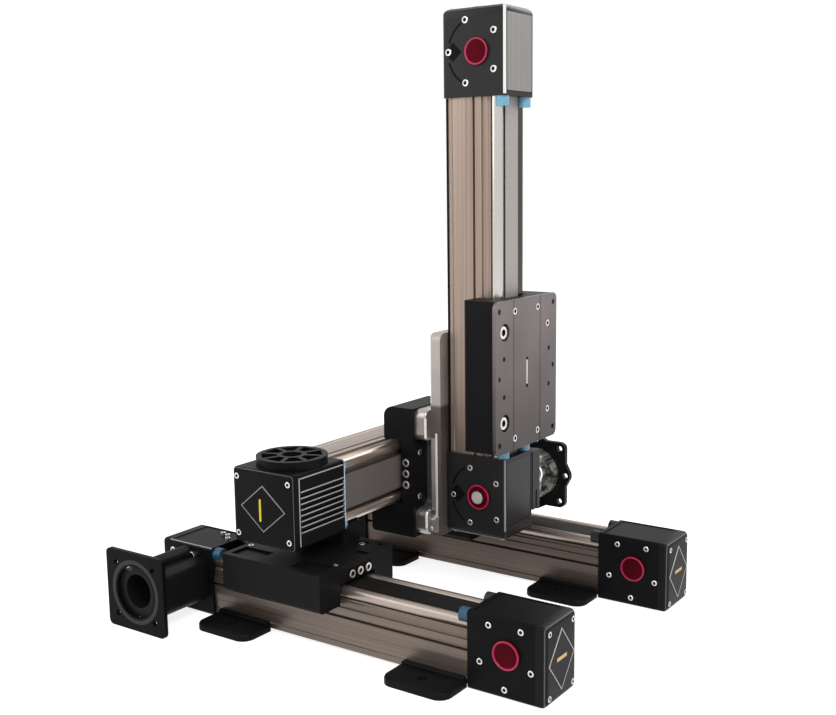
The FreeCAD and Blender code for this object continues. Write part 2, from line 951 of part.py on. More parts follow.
z_drive_line = pulley("z_drive", tool_axis, z_module, z_where["drive_axis"],
                      z_hub_start + shaft_hub_length / 2, half_narrow + shaft_proud)
z_hub_spot = (z_where["drive_axis"], z_hub_start, z_where["axis"])
z_drive_line.append(rod("z_drive_hub", tool_axis, z_hub_spot, 1, shaft_hub_radius,
                        shaft_hub_length))
z_bore_spot = (z_where["drive_axis"], z_hub_start - hub_gap, z_where["axis"])
z_bore = rod("z_motor_bore", tool_axis, z_bore_spot, 1, motor_shaft_radius + running_fit,
             shaft_hub_length / 2 + hub_gap)
nodes.append(without("z_drive_pulley", together("z_drive_solid", z_drive_line), z_bore))
nodes.append(together("z_idler_pulley", pulley("z_idler", tool_axis, z_module, z_where["idler_axis"],
                                               -half_narrow, half_narrow)))

# Carriages and their grooved rollers

carriage_ends = [(carriage_round, -1), (carriage_round, 1)]
x_saddles = [
    saddle("x_carriage_front", front_module, x_module, x_carriage, carriage_ends),
    saddle("x_carriage_rear", rear_module, x_module, x_carriage, carriage_ends),
]
nodes += x_saddles
beam_carriage_ends = [(y_carriage_round, 1), (carriage_round, -1)]
nodes.append(saddle("y_carriage", beam, y_module, y_carriage, beam_carriage_ends))
nodes.append(saddle("z_carriage", tool_axis, z_module, z_carriage, carriage_ends))
x_wheels = rollers("x_front_roller", front_module, x_module, x_carriage)
x_wheels += rollers("x_rear_roller", rear_module, x_module, x_carriage)
nodes.append(together("x_rollers", x_wheels))
nodes.append(together("y_rollers", rollers("y_roller", beam, y_module, y_carriage)))
nodes.append(together("z_rollers", rollers("z_roller", tool_axis, z_module, z_carriage)))


# Trays, bosses, slots and tapped holes in the top of a base carriage

def carriage_top(piece):
    middle = x_carriage["start"] + x_carriage["long"] / 2
    ways = [(along, across) for along in (-1, 1) for across in (-1, 1)]
    trays = [
        rectangle(middle + a * tray_along - tray_long / 2, middle + a * tray_along + tray_long / 2,
                  -tray_across - tray_wide / 2, -tray_across + tray_wide / 2)
        for a in (-1, 1)
    ]
    bosses = [circle(middle + a * boss_along, boss_across, boss_radius) for a in (-1, 1)]
    slots = [
        rectangle(middle + a * slot_along - slot_long / 2, middle + a * slot_along + slot_long / 2,
                  slot_across - slot_wide / 2, slot_across + slot_wide / 2)
        for a in (-1, 1)
    ]
    cut(piece, "xy", x_top - tray_depth, tray_depth, trays + bosses + slots)
    taps = [circle(middle + a * tap_along, b * tap_across, tap_radius) for a, b in ways]
    cut(piece, "xy", x_top - tap_depth, tap_depth, taps)


for piece in x_saddles:
    carriage_top(piece)

# Risers between the base carriages and the beam

risers = new_body("beam_risers", world)
riser_back = beam_front - wide["height"] + riser_inset
pad(risers, "xy", x_top, riser_height, [
    rectangle(riser_back, riser_back + riser_width, edge, edge + riser_length)
    for edge in (-inner_wall - riser_length, inner_wall)
])
soften(risers, "Fillet", housing_round, straight(2, lambda c: True))
nodes.append(risers)

# Clamping feet along both sides of both base modules: a thin tab with one bolt hole and a lip

feet = new_body("base_feet", world)
profile_side = narrow["width"] / 2 - narrow["side_inset"] - foot_seat
foot_middles = (x_module_start + x_where["profile"] + foot_drive_inset,
                x_module_start + x_where["idler"] - foot_idler_inset)
foot_tabs = []
foot_lips = []
foot_holes = []
for centre in (-base_spacing / 2, base_spacing / 2):
    for side in (-1, 1):
        for middle in foot_middles:
            close = centre + side * profile_side
            lip = centre + side * (profile_side + foot_lip_wide)
            far = centre + side * (profile_side + foot_reach)
            first = middle - foot_length / 2
            last = middle + foot_length / 2
            foot_tabs.append(polygon([
                (first, close),
                (last, close),
                (last - foot_taper, far),
                (first + foot_taper, far),
            ]))
            foot_lips.append(rectangle(first + foot_taper, last - foot_taper, close, lip))
            hole = centre + side * (profile_side + foot_hole_reach)
            foot_holes.append(circle(middle, hole, foot_hole_radius))
pad(feet, "xy", nothing, foot_height, foot_tabs)
pad(feet, "xy", foot_height, foot_lip_height - foot_height, foot_lips)
cut(feet, "xy", nothing, foot_lip_height, foot_holes)
nodes.append(feet)

# Motor adapter of the base drive: a hollow body with a clamping post, then its square flange

axis_x = x_where["drive_axis"]
axis_z = x_where["axis"]
adapter_front = -half_narrow - motor_adapter_length
adapter = new_body("x_motor_adapter", front_module)
pad(adapter, "xz", adapter_front, motor_adapter_length,
    [rectangle(axis_x - motor_adapter_half, axis_x + motor_adapter_half,
               axis_z - motor_adapter_drop, axis_z + motor_adapter_rise)])
soften(adapter, "Fillet", motor_adapter_round, straight(1, lambda c: True))
pad(adapter, "xz", adapter_front, motor_adapter_length,
    [circle(axis_x, axis_z + adapter_post_rise, adapter_post_radius)])
cut(adapter, "xz", adapter_front, motor_adapter_length, [circle(axis_x, axis_z, motor_adapter_bore)])
nodes.append(adapter)

flange = new_body("x_motor_flange", front_module)
flange_half = motor_flange_side / 2
flange_front = adapter_front - motor_flange_thick
pad(flange, "xz", flange_front, motor_flange_thick,
    [rectangle(axis_x - flange_half, axis_x + flange_half,
               axis_z - flange_half, axis_z + flange_half)])
soften(flange, "Fillet", motor_flange_round, straight(1, lambda c: True))
bolt_half = motor_bolt_spacing / 2
flange_holes = [
    circle(axis_x + a * bolt_half, axis_z + b * bolt_half, motor_bolt_radius)
    for a in (-1, 1) for b in (-1, 1)
]
cut(flange, "xz", flange_front, motor_flange_thick, flange_holes)
cut(flange, "xz", flange_front, motor_flange_thick, [circle(axis_x, axis_z, motor_pilot_radius)])
nodes.append(flange)

# Round adapter on top of the beam's drive block, with windows between its spokes

ring = new_body("y_motor_adapter", beam)
ring_x = y_where["drive_axis"]
ring_z = y_where["axis"]
pad(ring, "xz", half_wide, y_ring_height, [circle(ring_x, ring_z, y_ring_radius)])
half_turn = math.pi / number(y_window_count)


def spoke_window(turn):
    corners = []
    ways = ((y_window_inner, -1), (y_window_outer, -1), (y_window_outer, 1), (y_window_inner, 1))
    for radius, side in ways:
        inset = math.asin(number(y_window_rib) / number(radius))
        angle = turn + side * (half_turn - inset)
        corners.append((ring_x + radius * math.cos(angle), ring_z + radius * math.sin(angle)))
    return polygon(corners)


windows = [spoke_window(2 * half_turn * k) for k in range(int(number(y_window_count)))]
cut(ring, "xz", half_wide + y_ring_floor, y_ring_height, windows)
cut(ring, "xz", half_wide, y_ring_height, [circle(ring_x, ring_z, y_ring_bore)])
nodes.append(ring)

# Notched bracket with rounded edges, and the tall back plate behind the tool axis

bracket_back = beam_front + y_carriage["proud"]
bracket_front = bracket_back + bracket_thick
bracket_top = bracket_low + bracket_height
notch_bottom = bracket_low + bracket_notch_low
notch_top = notch_bottom + bracket_notch_height
bracket_edge = column_start + bracket_inset
bracket = new_body("z_bracket", world)
pad(bracket, "yz", bracket_back, bracket_thick, [polygon([
    (bracket_edge, bracket_low),
    (bracket_edge + bracket_width, bracket_low),
    (bracket_edge + bracket_width, bracket_top),
    (bracket_edge, bracket_top),
    (bracket_edge, notch_top),
    (bracket_edge + bracket_notch_depth, notch_top),
    (bracket_edge + bracket_notch_depth, notch_bottom),
    (bracket_edge, notch_bottom),
])])
soften(bracket, "Fillet", bracket_corner, straight(0, lambda c: True))
soften(bracket, "Fillet", bracket_edge_round,
       lambda edge: all(abs(corner.X - number(bracket_thick) - number(bracket_back)) < 0.01
                        for corner in edge.Vertexes))
nodes.append(bracket)

tongue_edge = bracket_edge + tongue_inset
tongue = new_body("z_back_plate", world)
pad(tongue, "yz", bracket_front, tool_axis_back - bracket_front,
    [rectangle(tongue_edge, tongue_edge + tongue_width, bracket_low, bracket_low + tongue_height)])
soften(tongue, "Fillet", bracket_corner, straight(0, lambda c: c.z > number(bracket_low) + 1))
nodes.append(tongue)

# Bell with a window on the far side of the tool axis drive, then its lobed flange

z_x = z_where["drive_axis"]
z_z = z_where["axis"]
bell_far = block_start - z_bell_length
bell = new_body("z_motor_adapter", tool_axis)
pad(bell, "xz", bell_far, z_bell_length, [circle(z_x, z_z, z_bell_radius)])
cut(bell, "xz", bell_far, z_bell_length, [circle(z_x, z_z, z_bell_radius - z_bell_wall)])
window_far = block_start - z_window_start - z_window_long
cut(bell, "xz", window_far, z_window_long,
    [rectangle(z_x - z_window_half, z_x + z_window_half, z_z, z_z + 2 * z_bell_radius)])
nodes.append(bell)

lobed = new_body("z_motor_flange", tool_axis)
flange_far = bell_far - z_flange_thick
square = z_bolt_spacing / 2 + z_lobe_radius


def lobed_side(turn):
    c = round(math.cos(turn))
    s = round(math.sin(turn))
    points = [(square, -square), (square, -z_point_half), (z_point_reach, -z_point_flat),
              (z_point_reach, z_point_flat), (square, z_point_half)]
    return [(z_x + c * a - s * b, z_z + s * a + c * b) for a, b in points]


lobes = []
for k in range(4):
    lobes += lobed_side(k * math.pi / 2)
pad(lobed, "xz", flange_far, z_flange_thick, [polygon(lobes)])
corner_reach = number(square) - 0.1
z_x_value = number(z_x)
z_z_value = number(z_z)
soften(lobed, "Fillet", z_lobe_radius, straight(
    1, lambda c: abs(c.x - z_x_value) > corner_reach and abs(c.z - z_z_value) > corner_reach))
cut(lobed, "xz", flange_far, z_flange_thick, [circle(z_x, z_z, z_bell_radius - z_bell_wall)])
bolt_half = z_bolt_spacing / 2
lobe_holes = [
    circle(z_x + a * bolt_half, z_z + b * bolt_half, motor_bolt_radius)
    for a in (-1, 1) for b in (-1, 1)
]
lobe_holes += [circle(z_x + a * z_point_hole, z_z, motor_bolt_radius) for a in (-1, 1)]
lobe_holes += [circle(z_x, z_z + a * z_point_hole, motor_bolt_radius) for a in (-1, 1)]
cut(lobed, "xz", flange_far, z_flange_thick, lobe_holes)
nodes.append(lobed)

# Tool plate on the upright carriage: tool holes, key holes, ports, screw holes, slot and lines

plate = new_body("tool_plate", tool_axis)
plate_start = z_carriage["start"]
plate_low = z_module["height"] + z_carriage["proud"]
pad(plate, "xy", plate_low, tool_plate_thick,
    [rectangle(plate_start, plate_start + z_carriage["long"],
               -tool_plate_width / 2, tool_plate_width / 2)])
soften(plate, "Fillet", tool_plate_corner, straight(2, lambda c: True))
plate_middle = plate_start + z_carriage["long"] / 2
corners = [(a, b) for a in (-1, 1) for b in (-1, 1)]
plate_groups = ((tool_hole_up, tool_hole_across, tool_hole_radius),
                (plate_key_up, plate_key_across, plate_key_radius),
                (plate_screw_up, plate_screw_across, plate_screw_radius))
plate_holes = [
    circle(plate_middle + a * up / 2, b * across / 2, radius)
    for up, across, radius in plate_groups for a, b in corners
]
plate_holes += [circle(plate_middle, b * tool_hole_across / 2, plate_key_radius) for b in (-1, 1)]
plate_holes += [circle(plate_middle + a * plate_port_up / 2, plate_port_across, plate_port_radius)
                for a in (-1, 1)]
plate_holes += [circle(plate_middle + a * plate_port_up / 2, -plate_port_across, plate_screw_radius)
                for a in (-1, 1)]
plate_holes.append(stadium(plate_middle - plate_slot_long / 2, plate_middle + plate_slot_long / 2,
                           nothing, plate_slot_radius))
cut(plate, "xy", plate_low, tool_plate_thick, plate_holes)
lines = [
    rectangle(plate_start, plate_start + z_carriage["long"],
              b * plate_band / 2 - plate_line / 2, b * plate_band / 2 + plate_line / 2)
    for b in (-1, 1)
]
cut(plate, "xy", plate_low + tool_plate_thick - panel_depth, panel_depth, lines)
nodes.append(plate)

# Check every object, then write one file for each piece

doc.recompute()
broken = [thing.Label for thing in doc.Objects if "Invalid" in thing.State or "Error" in thing.State]
if broken:
    raise RuntimeError(f"failed features: {broken}")
os.makedirs("parts", exist_ok=True)
for node in nodes:
    shape = node.Shape
    if shape.isNull() or not shape.isValid() or not shape.Solids:
        raise RuntimeError(f"bad shape: {node.Label}")
    shape.exportStep(f"parts/{node.Label}.step")
    print(node.Label, len(shape.Solids), round(shape.Volume / 1000, 2))
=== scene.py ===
import math
import bpy
import numpy as np
from mathutils import Matrix, Vector


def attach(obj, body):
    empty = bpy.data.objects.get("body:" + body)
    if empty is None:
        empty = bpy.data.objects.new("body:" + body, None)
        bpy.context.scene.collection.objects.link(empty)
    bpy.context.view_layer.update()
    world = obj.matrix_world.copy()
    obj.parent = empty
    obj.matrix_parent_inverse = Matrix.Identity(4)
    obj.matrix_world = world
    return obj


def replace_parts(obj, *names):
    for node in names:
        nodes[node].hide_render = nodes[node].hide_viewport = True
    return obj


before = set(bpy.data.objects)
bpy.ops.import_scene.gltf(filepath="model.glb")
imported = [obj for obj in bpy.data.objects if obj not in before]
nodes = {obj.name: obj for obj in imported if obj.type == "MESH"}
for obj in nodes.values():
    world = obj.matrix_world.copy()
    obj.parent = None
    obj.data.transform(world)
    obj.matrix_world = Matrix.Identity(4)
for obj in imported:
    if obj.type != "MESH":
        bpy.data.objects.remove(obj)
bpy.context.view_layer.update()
mm = 0.001
print("frame loaded:", len(nodes), "nodes")


# Small helpers for the shader nodes

def linear(hexColour):
    # sRGB hex turned to the linear values that a shader socket takes
    channels = [int(hexColour[k:k + 2], 16) / 255 for k in (1, 3, 5)]
    return [c / 12.92 if c <= 0.04045 else ((c + 0.055) / 1.055) ** 2.4 for c in channels] + [1.0]


def addNode(tree, kind, inputs=None, **settings):
    # a node with its settings; each input is linked to a socket or takes a plain value
    node = tree.nodes.new(kind)
    for name, value in settings.items():
        setattr(node, name, value)
    for name, value in (inputs or {}).items():
        if isinstance(value, bpy.types.NodeSocket):
            tree.links.new(value, node.inputs[name])
        else:
            node.inputs[name].default_value = value
    return node


def newMaterial(name, base, **shader):
    # a principled shader whose plain values sit on its own sockets
    material = bpy.data.materials.new(name)
    material.use_nodes = True
    tree = material.node_tree
    principled = tree.nodes["Principled BSDF"]
    principled.inputs["Base Color"].default_value = linear(base)
    for socket, value in shader.items():
        principled.inputs[socket.replace("_", " ")].default_value = value
    coordinates = addNode(tree, "ShaderNodeTexCoord").outputs["Object"]
    return material, tree, principled, coordinates


def stretched(tree, coordinates, scales):
    inputs = {"Vector": coordinates, "Scale": scales}
    return addNode(tree, "ShaderNodeMapping", inputs).outputs["Vector"]


def noise(tree, coordinates, scale, detail, crumble=0.5):
    inputs = {"Vector": coordinates, "Scale": scale, "Detail": detail, "Roughness": crumble}
    return addNode(tree, "ShaderNodeTexNoise", inputs).outputs["Fac"]


def ramp(tree, factor, places, colours):
    # colours given as hex, at places between 0 and 1
    node = addNode(tree, "ShaderNodeValToRGB", {"Fac": factor})
    stops = [(place, linear(colour)) for place, colour in zip(places, colours)]
    for element, (place, colour) in zip(node.color_ramp.elements, (stops[0], stops[-1])):
        element.position, element.color = place, colour
    for place, colour in stops[1:-1]:
        node.color_ramp.elements.new(place).color = colour
    return node.outputs["Color"]


def mathNode(tree, operation, *values):
    return addNode(tree, "ShaderNodeMath", dict(enumerate(values)), operation=operation).outputs[0]


def vectorNode(tree, operation, output, *values):
    inputs = dict(enumerate(values))
    return addNode(tree, "ShaderNodeVectorMath", inputs, operation=operation).outputs[output]


# Kinds of surface. The tone follows the broad patches where a kind has them, else the fine grain;
# gloss is what the grain, or the patches where glossPatches is set, add to the roughness;
# relief is the bump's strength and depth

surfaceKinds = {
    "extruded": {"detail": 3.0, "crumble": 0.6, "stops": (0.3, 0.5, 0.75), "gloss": (-0.06, 0.1),
                 "relief": (0.12, 0.05 * mm)},
    "painted": {"detail": 2.0, "patches": 22.0, "stops": (0.35, 0.7), "gloss": (-0.05, 0.08),
                "glossPatches": True, "relief": (0.15, 0.03 * mm)},
    "polished": {"detail": 2.0, "gloss": (-0.04, 0.08), "relief": (0.08, 0.02 * mm)},
    "blasted": {"detail": 3.0, "patches": 30.0, "stops": (0.3, 0.7), "gloss": (-0.08, 0.1),
                "relief": (0.25, 0.04 * mm)},
    "moulded": {"detail": 2.0, "stops": (0.3, 0.7), "gloss": (-0.05, 0.08), "relief": (0.2, 0.05 * mm)},
}
patchDetail = 2.0


def grained(name, kind, colours, rough, scales, **shader):
    # colour = ramp(noise), roughness = rough + gloss(noise), height = strength x depth x noise
    look = surfaceKinds[kind]
    middle = colours[(len(colours) - 1) // 2]
    material, tree, principled, coordinates = newMaterial(name, middle, **shader)
    grain = noise(tree, stretched(tree, coordinates, scales), 1.0, look["detail"], look.get("crumble", 0.5))
    patches = noise(tree, coordinates, look["patches"], patchDetail) if "patches" in look else grain
    if "stops" in look:
        tree.links.new(ramp(tree, patches, look["stops"], colours), principled.inputs["Base Color"])
    low, high = look["gloss"]
    gloss = addNode(tree, "ShaderNodeMapRange", {"Value": patches if look.get("glossPatches") else grain,
                                                 "To Min": rough + low, "To Max": rough + high})
    tree.links.new(gloss.outputs["Result"], principled.inputs["Roughness"])
    strength, depth = look["relief"]
    bump = addNode(tree, "ShaderNodeBump", {"Height": grain, "Strength": strength, "Distance": depth})
    tree.links.new(bump.outputs["Normal"], principled.inputs["Normal"])
    return material


# Anodised aluminium, bronze toned: extruded, so faint die lines run along the length

anodised = {"line": 0.7 * mm, "along": 4.0, "rough": 0.34, "metallic": 0.75}


def anodisedExtrusion(name, axis, colour="#97867a", dark="#83746a", light="#a69689"):
    scales = [1 / anodised["line"]] * 3
    scales[axis] = anodised["along"]
    return grained(name, "extruded", (dark, colour, light), anodised["rough"], scales,
                   Metallic=anodised["metallic"])


def satinBlack(name, colour, light, rough, grain, shine=0.08):
    # black painted castings and machined parts: a fine orange peel over satin black
    return grained(name, "painted", (colour, light), rough, [1 / grain] * 3, Specular_IOR_Level=shine)


# Ground and polished steel: nearly a mirror, with faint turning marks across the given axis

turning = {"around": 20.0, "metallic": 1.0}


def polishedSteel(name, colour, rough, axis, pitch):
    scales = [turning["around"]] * 3
    scales[axis] = 1 / pitch
    return grained(name, "polished", (colour,), rough, scales, Metallic=turning["metallic"])


def blastedAluminium(name, colour, light, rough, grain, metallic):
    # blasted or milled aluminium: a matt grain of fine pits
    return grained(name, "blasted", (colour, light), rough, [1 / grain] * 3, Metallic=metallic)


def mouldedRubber(name, colour, light, rough, grain):
    # moulded rubber or plastic: matt, with a slight mottle
    return grained(name, "moulded", (colour, light), rough, [1 / grain] * 3)


# A turned drum: broad dark and light streaks along its axis, painted reflections as a lathe-bright surface
# shows them

reflectionStreaks = {"along": 0.02, "detail": 1.5, "stops": (0.38, 0.5, 0.6), "metallic": 0.7}


def reflectionStreakedAluminium(name, colours, rough, width):
    # colour = ramp(noise(x / width, y / 50 widths, z / width))
    material, tree, principled, coordinates = newMaterial(
        name, colours[1], Metallic=reflectionStreaks["metallic"], Roughness=rough)
    scales = [1 / width, reflectionStreaks["along"] / width, 1 / width]
    grain = noise(tree, stretched(tree, coordinates, scales), 1.0, reflectionStreaks["detail"])
    tree.links.new(ramp(tree, grain, reflectionStreaks["stops"], colours), principled.inputs["Base Color"])
    return material


# A ribbed belt: ridges across the travel

beltRibs = {"pitch": 2.0 * mm, "stops": (0.2, 0.6), "strength": 0.35, "depth": 0.12 * mm}


def ribbedBelt(name, colour, light, rough, axis, metallic, shine=0.5):
    # height = wave(half the travel / pitch)
    material, tree, principled, coordinates = newMaterial(
        name, colour, Metallic=metallic, Roughness=rough, Specular_IOR_Level=shine)
    wave = {"Vector": coordinates, "Scale": 0.5 / beltRibs["pitch"], "Distortion": 0.0}
    ridges = addNode(tree, "ShaderNodeTexWave", wave, wave_type="BANDS",
                     bands_direction="XYZ"[axis]).outputs["Fac"]
    tone = ramp(tree, ridges, beltRibs["stops"], (colour, light))
    tree.links.new(tone, principled.inputs["Base Color"])
    bump = addNode(tree, "ShaderNodeBump", {"Height": ridges, "Strength": beltRibs["strength"],
                                            "Distance": beltRibs["depth"]})
    tree.links.new(bump.outputs["Normal"], principled.inputs["Normal"])
    return material


def overlaid(material, amount, colour, blend="MIX"):
    # another colour over the base colour, by the given amount: a number or a mask
    tree = material.node_tree
    base = tree.nodes["Principled BSDF"].inputs["Base Color"]
    under = base.links[0].from_socket if base.links else tuple(base.default_value)
    mixed = addNode(tree, "ShaderNodeMixRGB", {0: amount, 1: under, 2: colour}, blend_type=blend)
    tree.links.new(mixed.outputs[0], base)
    return material


def separated(tree):
    coordinates = addNode(tree, "ShaderNodeTexCoord").outputs["Object"]
    return addNode(tree, "ShaderNodeSeparateXYZ", {"Vector": coordinates}).outputs


# The motor flange: black like the rest, with one painted highlight ring round its bore

flangeRingHighlight = {"centre": (-0.1387, 0.0, 0.0292), "middle": 22.2 * mm, "half": 1.5 * mm, "colour": "#3a393b"}


def ringHighlight(material):
    # ring where | distance from the bore's axis - middle | < half width
    tree = material.node_tree
    coordinates = addNode(tree, "ShaderNodeTexCoord").outputs["Object"]
    away = vectorNode(tree, "SUBTRACT", 0, coordinates, flangeRingHighlight["centre"])
    flat = vectorNode(tree, "MULTIPLY", 0, away, (1.0, 0.0, 1.0))
    distance = vectorNode(tree, "LENGTH", "Value", flat)
    inside = mathNode(tree, "COMPARE", distance, flangeRingHighlight["middle"], flangeRingHighlight["half"])
    return overlaid(material, inside, linear(flangeRingHighlight["colour"]))


# The idler covers: a plain gold bar is let in at the middle of each end face

inlayBar = {"across": (93 * mm, 6.3 * mm), "up": (27 * mm, 1.2 * mm), "colour": "#d3ad7c"}


def goldInlay(material):
    # bar where | |y| - middle | < half length and | z - middle | < half height
    tree = material.node_tree
    place = separated(tree)
    side = mathNode(tree, "ABSOLUTE", place["Y"])
    across = mathNode(tree, "COMPARE", side, *inlayBar["across"])
    up = mathNode(tree, "COMPARE", place["Z"], *inlayBar["up"])
    return overlaid(material, mathNode(tree, "MULTIPLY", across, up), linear(inlayBar["colour"]))


def toned(material, low, high, start, end, axis="Z"):
    # tone along one axis: colour x mix(low, high) between start and end, in millimetres
    tree = material.node_tree
    span = {"Value": separated(tree)[axis], "From Min": start * mm, "From Max": end * mm}
    rise = addNode(tree, "ShaderNodeMapRange", span).outputs["Result"]
    return overlaid(material, 1.0, ramp(tree, rise, (0.0, 1.0), (low, high)), "MULTIPLY")


# Materials: each call gives the name, the tones, the roughness and the size of the grain;
# an axis is 0, 1 or 2, and a toned material takes two tints and the span between them

profileX = anodisedExtrusion("anodisedAluminiumAlongX", 0, "#71655c", "#5f544b", "#81756c")
# painted shade: the rear profile is the same aluminium as the others, tinted darker
profileRearShaded = anodisedExtrusion("paintedShadeAluminiumAlongX", 0, "#5d524b", "#4d433c", "#6c615a")
profileY = anodisedExtrusion("anodisedAluminiumAlongY", 1)
profileZ = anodisedExtrusion("anodisedAluminiumAlongZ", 2)
housingBlack = satinBlack("satinBlackHousing", "#0d0c0e", "#121113", 0.4, 0.5 * mm, 0.06)
topBlack = satinBlack("satinBlackTopHousing", "#1c1b1c", "#222021", 0.42, 0.5 * mm, 0.2)
carriageBlack = satinBlack("satinBlackCarriage", "#0f0e10", "#151416", 0.44, 0.4 * mm, 0.07)
footBlack = satinBlack("powderCoatedFoot", "#0c0c0d", "#111112", 0.5, 0.8 * mm)
adapterBlack = satinBlack("castMotorAdapter", "#111112", "#181718", 0.4, 0.5 * mm)
flangeBlack = ringHighlight(satinBlack("motorFlangeRingHighlight", "#090809", "#0d0c0d", 0.4, 0.4 * mm, 0.05))
coverBlack = goldInlay(satinBlack("satinBlackIdlerCover", "#151416", "#1b1a1b", 0.4, 0.4 * mm))
grooveBlack = satinBlack("engravedLine", "#060506", "#0b0a0b", 0.6, 0.3 * mm)
railX = polishedSteel("polishedShaftAlongX", "#a89b92", 0.34, 0, 0.4 * mm)
railY = polishedSteel("polishedShaftAlongY", "#d4c6ba", 0.3, 1, 0.4 * mm)
# painted shade: the far rail is drawn darker
railZFarShaded = toned(polishedSteel("polishedShaftAlongZPaintedShade", "#c9c5c0", 0.16, 2, 0.4 * mm),
              "#ffffff", "#6e6a68", 34, 36, "Y")  # the far rail is the darker one
screwSteel = polishedSteel("zincPlatedSteel", "#d6d3cf", 0.28, 1, 0.3 * mm)
# painted shade: the screw sockets are dark
socketShade = satinBlack("screwSocketPaintedShade", "#1a1919", "#232121", 0.6, 0.2 * mm)
pulleySteel = blastedAluminium("turnedAluminium", "#a5a5a4", "#b7b6b3", 0.32, 0.3 * mm, 1.0)
rollerSteel = polishedSteel("groundRollerSteel", "#aaa8a5", 0.25, 2, 0.3 * mm)
beltX = ribbedBelt("ribbedBeltAlongX", "#0d0c0b", "#151312", 0.6, 0, 0.0, 0.12)
# painted reflection: the beam's and the upright's belts are black belts tinted grey
beltYReflection = ribbedBelt("ribbedBeltAlongYPaintedReflection", "#544e4c", "#645e5b", 0.45, 1, 0.1)
beltZReflection = ribbedBelt("ribbedBeltAlongZPaintedReflection", "#9b9492", "#a39c99", 0.4, 2, 0.3)
bumperBlue = mouldedRubber("blueUrethane", "#5f93b0", "#7aabc6", 0.4, 0.8 * mm)
# painted shade: the base bumpers are a darker blue, nearly black farther back
bumperBlueShaded = toned(mouldedRubber("paintedShadeBlueUrethane", "#113d56", "#1b4a64", 0.45, 0.8 * mm),
                 "#ffffff", "#191919", -95, -94, "Y")  # blue in front, nearly black farther back
paleBlue = mouldedRubber("paleBlueSeal", "#a4c0cd", "#b8d0db", 0.4, 0.8 * mm)
bracketMetal = blastedAluminium("milledAluminiumBracket", "#a5a19f", "#b4b0ae", 0.3, 0.35 * mm, 0.9)
# painted shade: the plate is darker beside the bracket
tongueMetal = toned(blastedAluminium("clearAnodisedPlate", "#a79f99", "#b3aba4", 0.45, 0.35 * mm, 0.5),
                    "#8f8b89", "#ffffff", 149, 151.5)  # darker beside the bracket
# painted shade: the tool plate is darker towards its lower end
plateMetal = toned(blastedAluminium("bronzeAnodisedPlate", "#6f6565", "#7a7070", 0.4, 0.4 * mm, 0.6),
                   "#8c8888", "#ffffff", 122, 232)  # darker towards its lower end
capRed = satinBlack("crimsonAnodisedCap", "#42040f", "#580818", 0.3, 0.4 * mm, 0.03)
rimRed = satinBlack("crimsonAnodisedRim", "#9a1a3e", "#b8325c", 0.25, 0.3 * mm, 0.3)
shaftFace = blastedAluminium("turnedShaftEnd", "#c9b8b6", "#dccfcd", 0.3, 0.2 * mm, 0.4)
# painted reflections: streaks on the drum and the bell's end wall
brightMetal = reflectionStreakedAluminium("brightTurnedDrum", ("#4d4f4c", "#a0a29b", "#d8dad3"), 0.26, 4.0 * mm)
# painted highlights: bright strips on roundings and edges
edgeHighlight = blastedAluminium("paintedHighlightEdge", "#d8d6d4", "#e6e4e2", 0.3, 0.3 * mm, 0.2)
dimEdgeHighlight = blastedAluminium("paintedDimHighlightEdge", "#77747a", "#868388", 0.35, 0.3 * mm, 0.2)
paleFace = anodisedExtrusion("satinGreyFace", 2, "#8f8c88", "#85827f", "#a09c98")
darkFace = anodisedExtrusion("darkSatinFace", 2, "#242124", "#1f1c1f", "#2d2a2d")
webFace = blastedAluminium("milledWebFace", "#a9a5a2", "#b6b2af", 0.35, 0.35 * mm, 0.7)
# painted highlight: one ring of each end cover's rounded edge
coverHighlight = satinBlack("paintedHighlightCoverEdge", "#474546", "#585656", 0.35, 0.4 * mm, 0.3)
# painted highlights: the ribs' edges and the diamonds' frames
ribHighlight = blastedAluminium("paintedHighlightRibEdge", "#9d9a97", "#aeaba8", 0.35, 0.3 * mm, 0.2)
yellowInlay = mouldedRubber("yellowInlay", "#c9b414", "#d6c224", 0.5, 0.4 * mm)
# painted highlights: the tool plate's steel screws and the lit wall of its slot are pale
paleHighlight = mouldedRubber("paintedHighlightPaleFace", "#dedad7", "#ebe8e5", 0.35, 0.5 * mm)

# Nodes by material; every node that isn't named here is housing black

nodesByMaterial = [
    (profileX, ("x_profile_front",)),
    (profileRearShaded, ("x_profile_rear",)),
    (profileY, ("y_profile",)),
    (profileZ, ("z_profile",)),
    (railX, ("x_rails_front", "x_rails_rear")),
    (railY, ("y_rails",)),
    (railZFarShaded, ("z_rails",)),
    (beltX, ("x_belt_front", "x_belt_rear")),
    (beltYReflection, ("y_belt",)),
    (beltZReflection, ("z_belt",)),
    (footBlack, ("base_feet",)),
    (carriageBlack, ("x_carriage_front", "x_carriage_rear", "y_carriage", "z_carriage", "beam_risers")),
    (capRed, ("x_bearing_caps", "z_bearing_caps")),
    (bumperBlueShaded, ("x_bumpers",)),
    (bumperBlue, ("y_bumpers", "z_bumpers")),
    (adapterBlack, ("x_motor_adapter", "z_motor_flange")),
    (flangeBlack, ("x_motor_flange",)),
    (pulleySteel, ("x_drive_shaft", "x_idler_pulley_front", "x_idler_pulley_rear", "y_drive_pulley",
                   "y_idler_pulley", "z_drive_pulley", "z_idler_pulley")),
    (rollerSteel, ("x_rollers", "y_rollers", "z_rollers")),
    (bracketMetal, ("z_bracket",)),
    (tongueMetal, ("z_back_plate",)),
    (brightMetal, ("z_motor_adapter",)),
    (plateMetal, ("tool_plate",)),
    (topBlack, ("z_idler_housing", "z_drive_housing")),
]
nodeMaterials = {name: material for material, names in nodesByMaterial for name in names}
for name, thing in nodes.items():
    thing.data.materials.clear()
    thing.data.materials.append(nodeMaterials.get(name, housingBlack))
print("materials on", len(nodes), "nodes")


